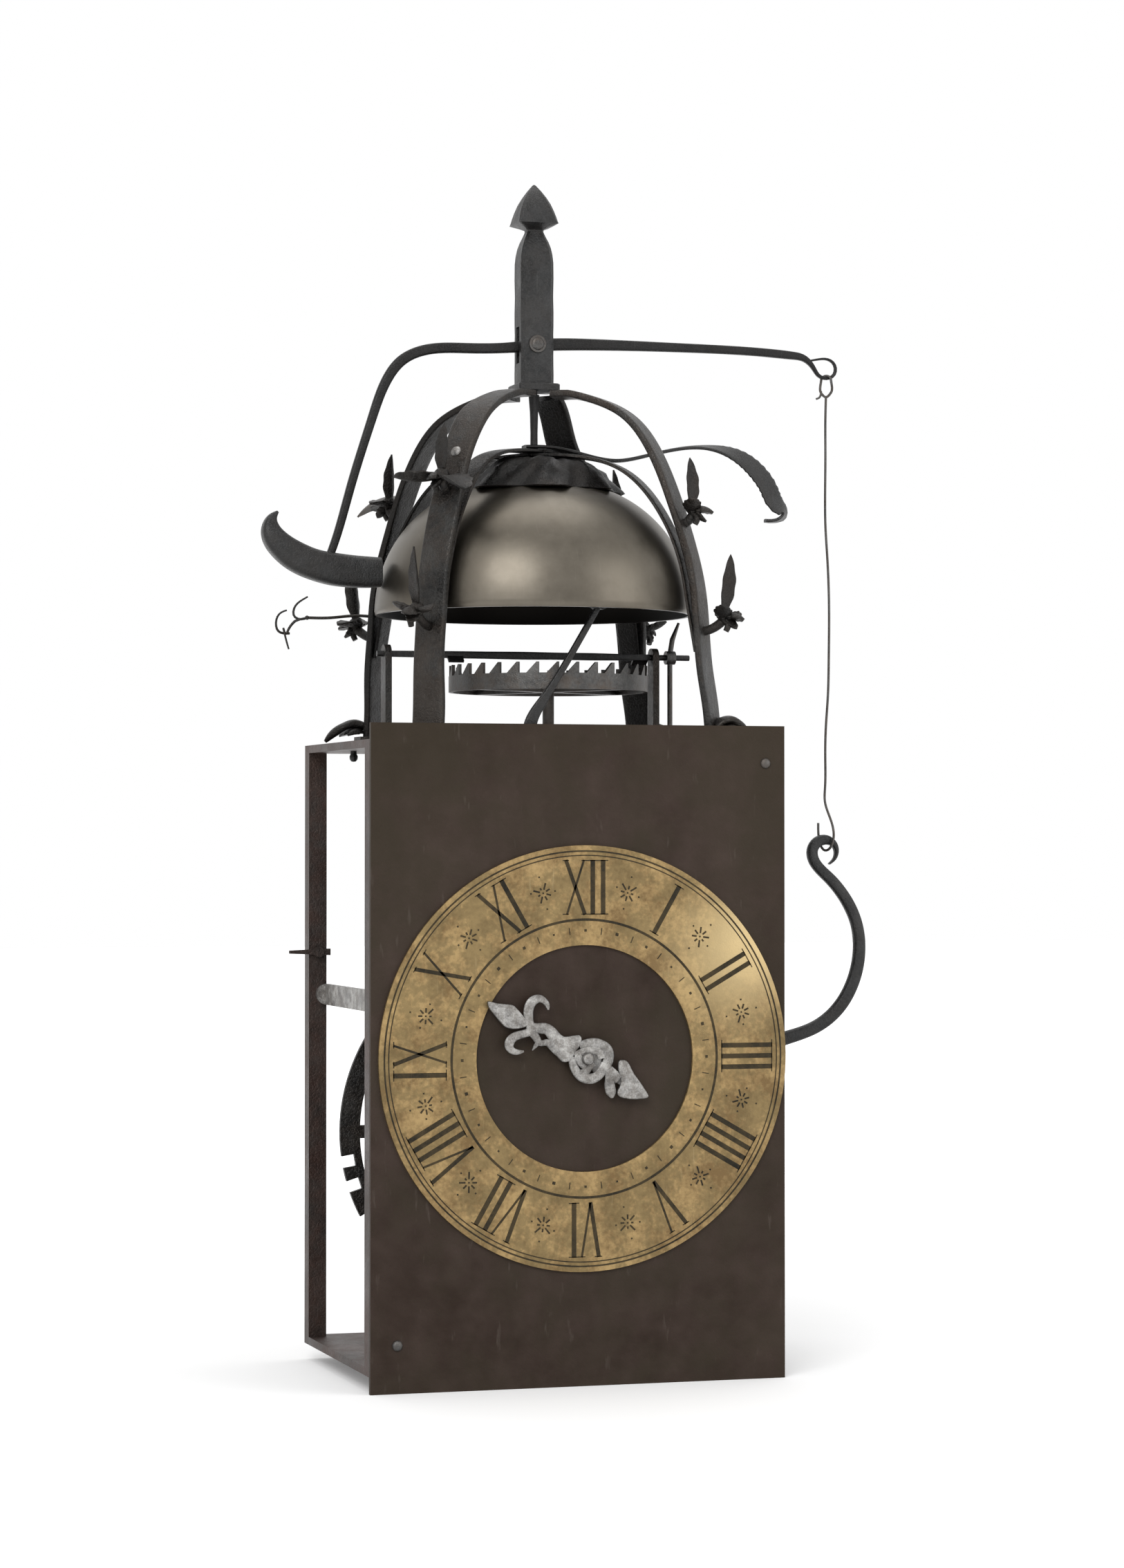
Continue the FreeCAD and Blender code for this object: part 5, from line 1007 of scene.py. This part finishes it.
# Painted shade on the stud's back part, towards the hand and dial.
makePiece("hand_stud", turnedAcross(headStud, clock["dialX"], clock["dialZ"], 24), "hour", handSteel,
          shadeAndBlack=lambda p: np.clip((p[:, 1] + 6.4) / 0.8, 0, 1) * 0.6)
print("hour hand made")


# ---- hour ring: engraved lines, numbers and marks

ring = {
    "front": -2.1, "rise": 0.07, "radius": 78.6,
    "circles": [(76.5, 0.6), (74.9, 0.4), (51.2, 0.9)],
    "numberLow": 53.0, "numberHigh": 73.2, "thick": 1.75, "thin": 0.8, "gap": 4.0,
}
numbers = ["XII", "I", "II", "III", "IIII", "V", "VI", "VII", "VIII", "IX", "X", "XI"]


# Strokes of one number, as (u0, v0, u1, v1, width): u to the right of the number as it
# reads with its foot to the centre, v from 0 at the foot to 1 at the top.
def numberStrokes(text):
    strokes, u = [], 0.0
    for letter in text:
        if letter == "I":
            strokes.append((u, 0, u, 1, ring["thick"]))
            strokes += [(u - ring["gap"] / 2, v, u + ring["gap"] / 2, v, 0.36) for v in (0.01, 0.99)]
            u += ring["gap"]
        elif letter == "V":
            strokes += [(u, 1, u + 3.3, 0, ring["thick"] * 0.85), (u + 6.6, 1, u + 3.3, 0, ring["thin"])]
            strokes += [(u - 1.3, 0.99, u + 1.6, 0.99, 0.36), (u + 5.2, 0.99, u + 7.6, 0.99, 0.36)]
            u += 6.6 + ring["gap"] * 0.75
        else:
            strokes += [(u, 1, u + 7.4, 0, ring["thick"] * 0.8), (u + 7.0, 1, u + 0.4, 0, ring["thin"])]
            strokes += [(u + k, v, u + k + 2.4, v, 0.36) for k in (-1.2, 6.0) for v in (0.01, 0.99)]
            u += 7.4 + ring["gap"] * 0.75
    ends = [s[0] for s in strokes] + [s[2] for s in strokes]
    middleU = (min(ends) + max(ends)) / 2
    return [(a - middleU, b, c - middleU, d, w) for a, b, c, d, w in strokes]


# Thin raised boxes for strokes given in dial coordinates, all at once.
def strokeBoxes(strokes, front, back):
    s = np.asarray(strokes, float)
    p, q, w = s[:, :2], s[:, 2:4], s[:, 4:5] / 2
    d = q - p
    n = np.stack([-d[:, 1], d[:, 0]], -1) / np.linalg.norm(d, axis=1)[:, None] * w
    corners = np.stack([p + n, q + n, q - n, p - n], 1)
    flat = np.stack([corners[..., 0], np.full(corners.shape[:2], front), corners[..., 1]], -1)
    deep = flat.copy()
    deep[..., 1] = back
    points = np.concatenate([flat, deep], 1).reshape(-1, 3)
    box = np.array([[0, 1, 2, 3], [7, 6, 5, 4], [0, 4, 5, 1], [1, 5, 6, 2], [2, 6, 7, 3], [3, 7, 4, 0]])
    faces = (np.arange(len(s))[:, None, None] * 8 + box).reshape(-1, 4).tolist()
    return points, faces


# Turns strokes from a number's own place to the dial: angle is clockwise from the top.
def onDial(strokes, angle, low, high):
    placed = []
    for a, b, c, d, w in strokes:
        spots = []
        for u, v in ((a, b), (c, d)):
            r = low + v * (high - low)
            t = math.radians(angle)
            spots += [clock["dialX"] + r * math.sin(t) + u * math.cos(t),
                      clock["dialZ"] + r * math.cos(t) - u * math.sin(t)]
        placed.append((*spots, w))
    return placed


dialStrokes = []
for hour, text in enumerate(numbers):
    dialStrokes += onDial(numberStrokes(text), hour * 30, ring["numberLow"], ring["numberHigh"])
    # a star of short dashes that don't meet, turned a little differently at each half hour
    lean = 0.3 * math.sin(hour * 2.7)
    star = []
    for k in range(8):
        c, s = math.sin(k * math.pi / 4 + lean), math.cos(k * math.pi / 4 + lean)
        reachOut = (3.6 if k % 2 else 2.7) + 0.5 * math.sin(hour + k * 2.1)
        star.append((c * 1.3, 0.5 + s * 1.3 / 20.2, c * reachOut, 0.5 + s * reachOut / 20.2, 0.62))
    star += [(u - 0.3, v, u + 0.3, v, 0.6) for u, v in ((0, 0.5), (0, 0.80), (0, 0.2), (-4.6, 0.55), (4.6, 0.48))]
    dialStrokes += onDial(star, hour * 30 + 15, ring["numberLow"], ring["numberHigh"])
    for quarter in range(4):
        turn = hour * 30 + quarter * 7.5
        if quarter % 2:
            dialStrokes += onDial([(0, 0.34, 0, 0.66, 0.34)], turn, 43.2, 51.2)
        else:
            size = 0.95 + 0.25 * math.sin(hour * 3.1 + quarter)
            dialStrokes += onDial([(0, 0.5 - size * 0.06, 0, 0.5 + size * 0.06, size)], turn, 43.2, 51.2)
ringParts = [strokeBoxes(dialStrokes, ring["front"] - ring["rise"], ring["front"] + 0.1)]


# A flat thin ring line between two radii, closed all round.
def ringLine(radius, width):
    low, high = radius - width / 2, radius + width / 2
    front, back = ring["front"] - ring["rise"], ring["front"] + 0.1
    profile = [(low, front), (high, front), (high, back), (low, back), (low, front)]
    return turnedAcross(profile, clock["dialX"], clock["dialZ"], 180)


ringParts += [ringLine(r, w) for r, w in ring["circles"]]
makePiece("dial_numbers", gather(ringParts), "frame", engraving, angle=20)
print("hour ring made")


# ---- small pieces

# A low dome on a leg: rings of radius r at a lift above the strap, in the leg's plane.
reach, out, normal = legDirections("front_left")
a = np.linspace(0, 2 * np.pi, 16, endpoint=False)
dome = []
for r, lift in ((2.2, -0.6), (2.2, 0.1), (1.9, 0.6), (1.2, 1.0), (0.05, 1.15)):
    dome.append(bellAxis + out * (51.6 + lift * 0.9) + np.array([0, 0, 345.6 + lift * 0.45])
                + normal * (r * np.cos(a))[:, None] + np.array([-out[0] * 0.45, -out[1] * 0.45, 0.9])
                * (r * np.sin(a))[:, None])
domePoints = np.concatenate(dome)
domeEnds = [list(range(16))[::-1], list(range(64, 80))]
makePiece("leg_rivet", (domePoints, gridFaces(5, 16) + domeEnds), "frame", handSteel)

# A square forged bar round the verge between its two cocks, a little thicker in the middle.
bar = {"x": (-60.4, 41.8), "y": 45.5, "z": 271.4, "half": 1.15, "belly": 0.3}
along = np.linspace(bar["x"][0], bar["x"][1], 40)
half = bar["half"] + bar["belly"] * np.sin(np.linspace(0, np.pi, 40))
barLine = np.stack([along, np.full(40, bar["z"]), half, half], -1)
makePiece("verge_bar", planeBar(barLine, np.array([0, bar["y"], 0]), np.array([1.0, 0, 0]), 7, 3, 0.08, 12),
          "verge", darkSteel)

# Domed studs of the dial plate: rows of radius and Y.
stud = {"at": [(72.4, 230.0), (-69.9, 17.5)], "profile": [(0, -2.1), (0.8, -2.05), (1.5, -1.8), (1.9, -1.4), (2.0, -1.0),
                                                         (2.0, 0.9), (0, 0.9)]}
studParts = [turnedAcross(stud["profile"], x, z, 20) for x, z in stud["at"]]
makePiece("dial_studs", gather(studParts), "frame", workedSteel, ["dial_rivets"])

peg = {"at": (-70.8, 62.0), "profile": [(0, 230.9), (0.9, 231.1), (1.5, 231.9), (1.6, 233.0), (1.2, 233.9),
                                        (1.2, 235.2), (0, 235.2)]}
makePiece("plate_peg", turned(peg["profile"], np.array([*peg["at"], 0.0]), 20), "frame", darkSteel)
print("small pieces made")


# ---- room, lights and camera

room = {"floor": 6.0, "floorColour": 0.82, "whiten": 0.16, "farWhiten": 0.75, "fade": (0.2, 1.3), "world": 0.62}


# A wide floor with a very slight swell far from the clock, so that it isn't a bare plane.
def floorShape():
    n = 41
    x, y = np.meshgrid(np.linspace(-room["floor"], room["floor"], n), np.linspace(-room["floor"], room["floor"], n))
    z = -0.00002 * np.maximum(np.hypot(x, y) - 1.5, 0) ** 2
    return np.stack([x, y, z], -1).reshape(-1, 3), gridFaces(n, n, False)


floorMesh = bpy.data.meshes.new("studio_floor")
floorMesh.from_pydata(floorShape()[0].tolist(), [], floorShape()[1])
floor = bpy.data.objects.new("studio_floor", floorMesh)
bpy.context.scene.collection.objects.link(floor)
floorPaint = bpy.data.materials.new("floorPaint")
floorPaint.use_nodes = True
n, link = floorPaint.node_tree.nodes, floorPaint.node_tree.links.new
shader = n["Principled BSDF"]
shader.inputs["Base Color"].default_value = (room["floorColour"],) * 3 + (1,)
shader.inputs["Roughness"].default_value = 0.9
shader.inputs["Specular IOR Level"].default_value = 0.1


# Strength is one where the camera, a reflection or a glass ray looks, times a share.
def seenRays(n, link, share):
    path, first, second, scale = n.new("ShaderNodeLightPath"), *(n.new("ShaderNodeMath") for _ in range(3))
    first.operation = second.operation = "MAXIMUM"
    scale.operation = "MULTIPLY"
    link(path.outputs["Is Camera Ray"], first.inputs[0])
    link(path.outputs["Is Glossy Ray"], first.inputs[1])
    link(first.outputs[0], second.inputs[0])
    link(path.outputs["Is Transmission Ray"], second.inputs[1])
    link(second.outputs[0], scale.inputs[0])
    scale.inputs[1].default_value = share
    return scale


# The floor glows a little more far from the clock, so that no horizon shows.
coord, reachOut, far = n.new("ShaderNodeTexCoord"), n.new("ShaderNodeVectorMath"), n.new("ShaderNodeMapRange")
reachOut.operation = "LENGTH"
link(coord.outputs["Object"], reachOut.inputs[0])
link(reachOut.outputs["Value"], far.inputs["Value"])
far.inputs["From Min"].default_value, far.inputs["From Max"].default_value = room["fade"]
far.inputs["To Min"].default_value, far.inputs["To Max"].default_value = room["whiten"], room["farWhiten"]
glow = seenRays(n, link, 1.0)
link(far.outputs["Result"], glow.inputs[1])
shader.inputs["Emission Color"].default_value = (1, 1, 1, 1)
link(glow.outputs[0], shader.inputs["Emission Strength"])
floorMesh.materials.append(floorPaint)

world = bpy.data.worlds.new("studio")
bpy.context.scene.world = world
world.use_nodes = True
n, link = world.node_tree.nodes, world.node_tree.links.new
plain, seen, mix = n["Background"], n.new("ShaderNodeBackground"), n.new("ShaderNodeMixShader")
plain.inputs["Color"].default_value = (1, 1, 1, 1)
plain.inputs["Strength"].default_value = room["world"]
seen.inputs["Color"].default_value = (1, 1, 1, 1)
seen.inputs["Strength"].default_value = 1.0
link(seenRays(n, link, 1.0).outputs[0], mix.inputs["Fac"])
link(plain.outputs[0], mix.inputs[1])
link(seen.outputs[0], mix.inputs[2])
link(mix.outputs[0], n["World Output"].inputs["Surface"])

lamps = {
    "key_lamp": {"at": (-1.1, -1.5, 1.5), "aim": (0.0, 0.05, 0.22), "size": 1.1, "power": 26.0},
    "fill_lamp": {"at": (1.4, -1.2, 0.9), "aim": (0.0, 0.05, 0.2), "size": 1.2, "power": 9.0},
    "top_lamp": {"at": (0.1, 0.4, 1.9), "aim": (0.0, 0.05, 0.2), "size": 1.3, "power": 12.0},
}
for name, lamp in lamps.items():
    data = bpy.data.lights.new(name, "AREA")
    data.size = lamp["size"]
    data.energy = lamp["power"]
    light = bpy.data.objects.new(name, data)
    light.location = lamp["at"]
    light.rotation_euler = (Vector(lamp["aim"]) - Vector(lamp["at"])).to_track_quat("-Z", "Y").to_euler()
    bpy.context.scene.collection.objects.link(light)

view = {"at": (-0.4205, -1.3505, 0.1994), "turn": 17.022, "rise": 0.913, "lens": 87.88}
cameraData = bpy.data.cameras.new("photo_camera")
cameraData.lens = view["lens"]
cameraData.sensor_width = 36.0
cameraData.sensor_fit = "AUTO"
camera = bpy.data.objects.new("photo_camera", cameraData)
camera.location = view["at"]
turn, rise = math.radians(view["turn"]), math.radians(view["rise"])
look = Vector((math.sin(turn) * math.cos(rise), math.cos(turn) * math.cos(rise), math.sin(rise)))
camera.rotation_euler = look.to_track_quat("-Z", "Y").to_euler()
bpy.context.scene.collection.objects.link(camera)
bpy.context.scene.camera = camera
bpy.context.scene.view_settings.view_transform = "Standard"

print("scene ready")
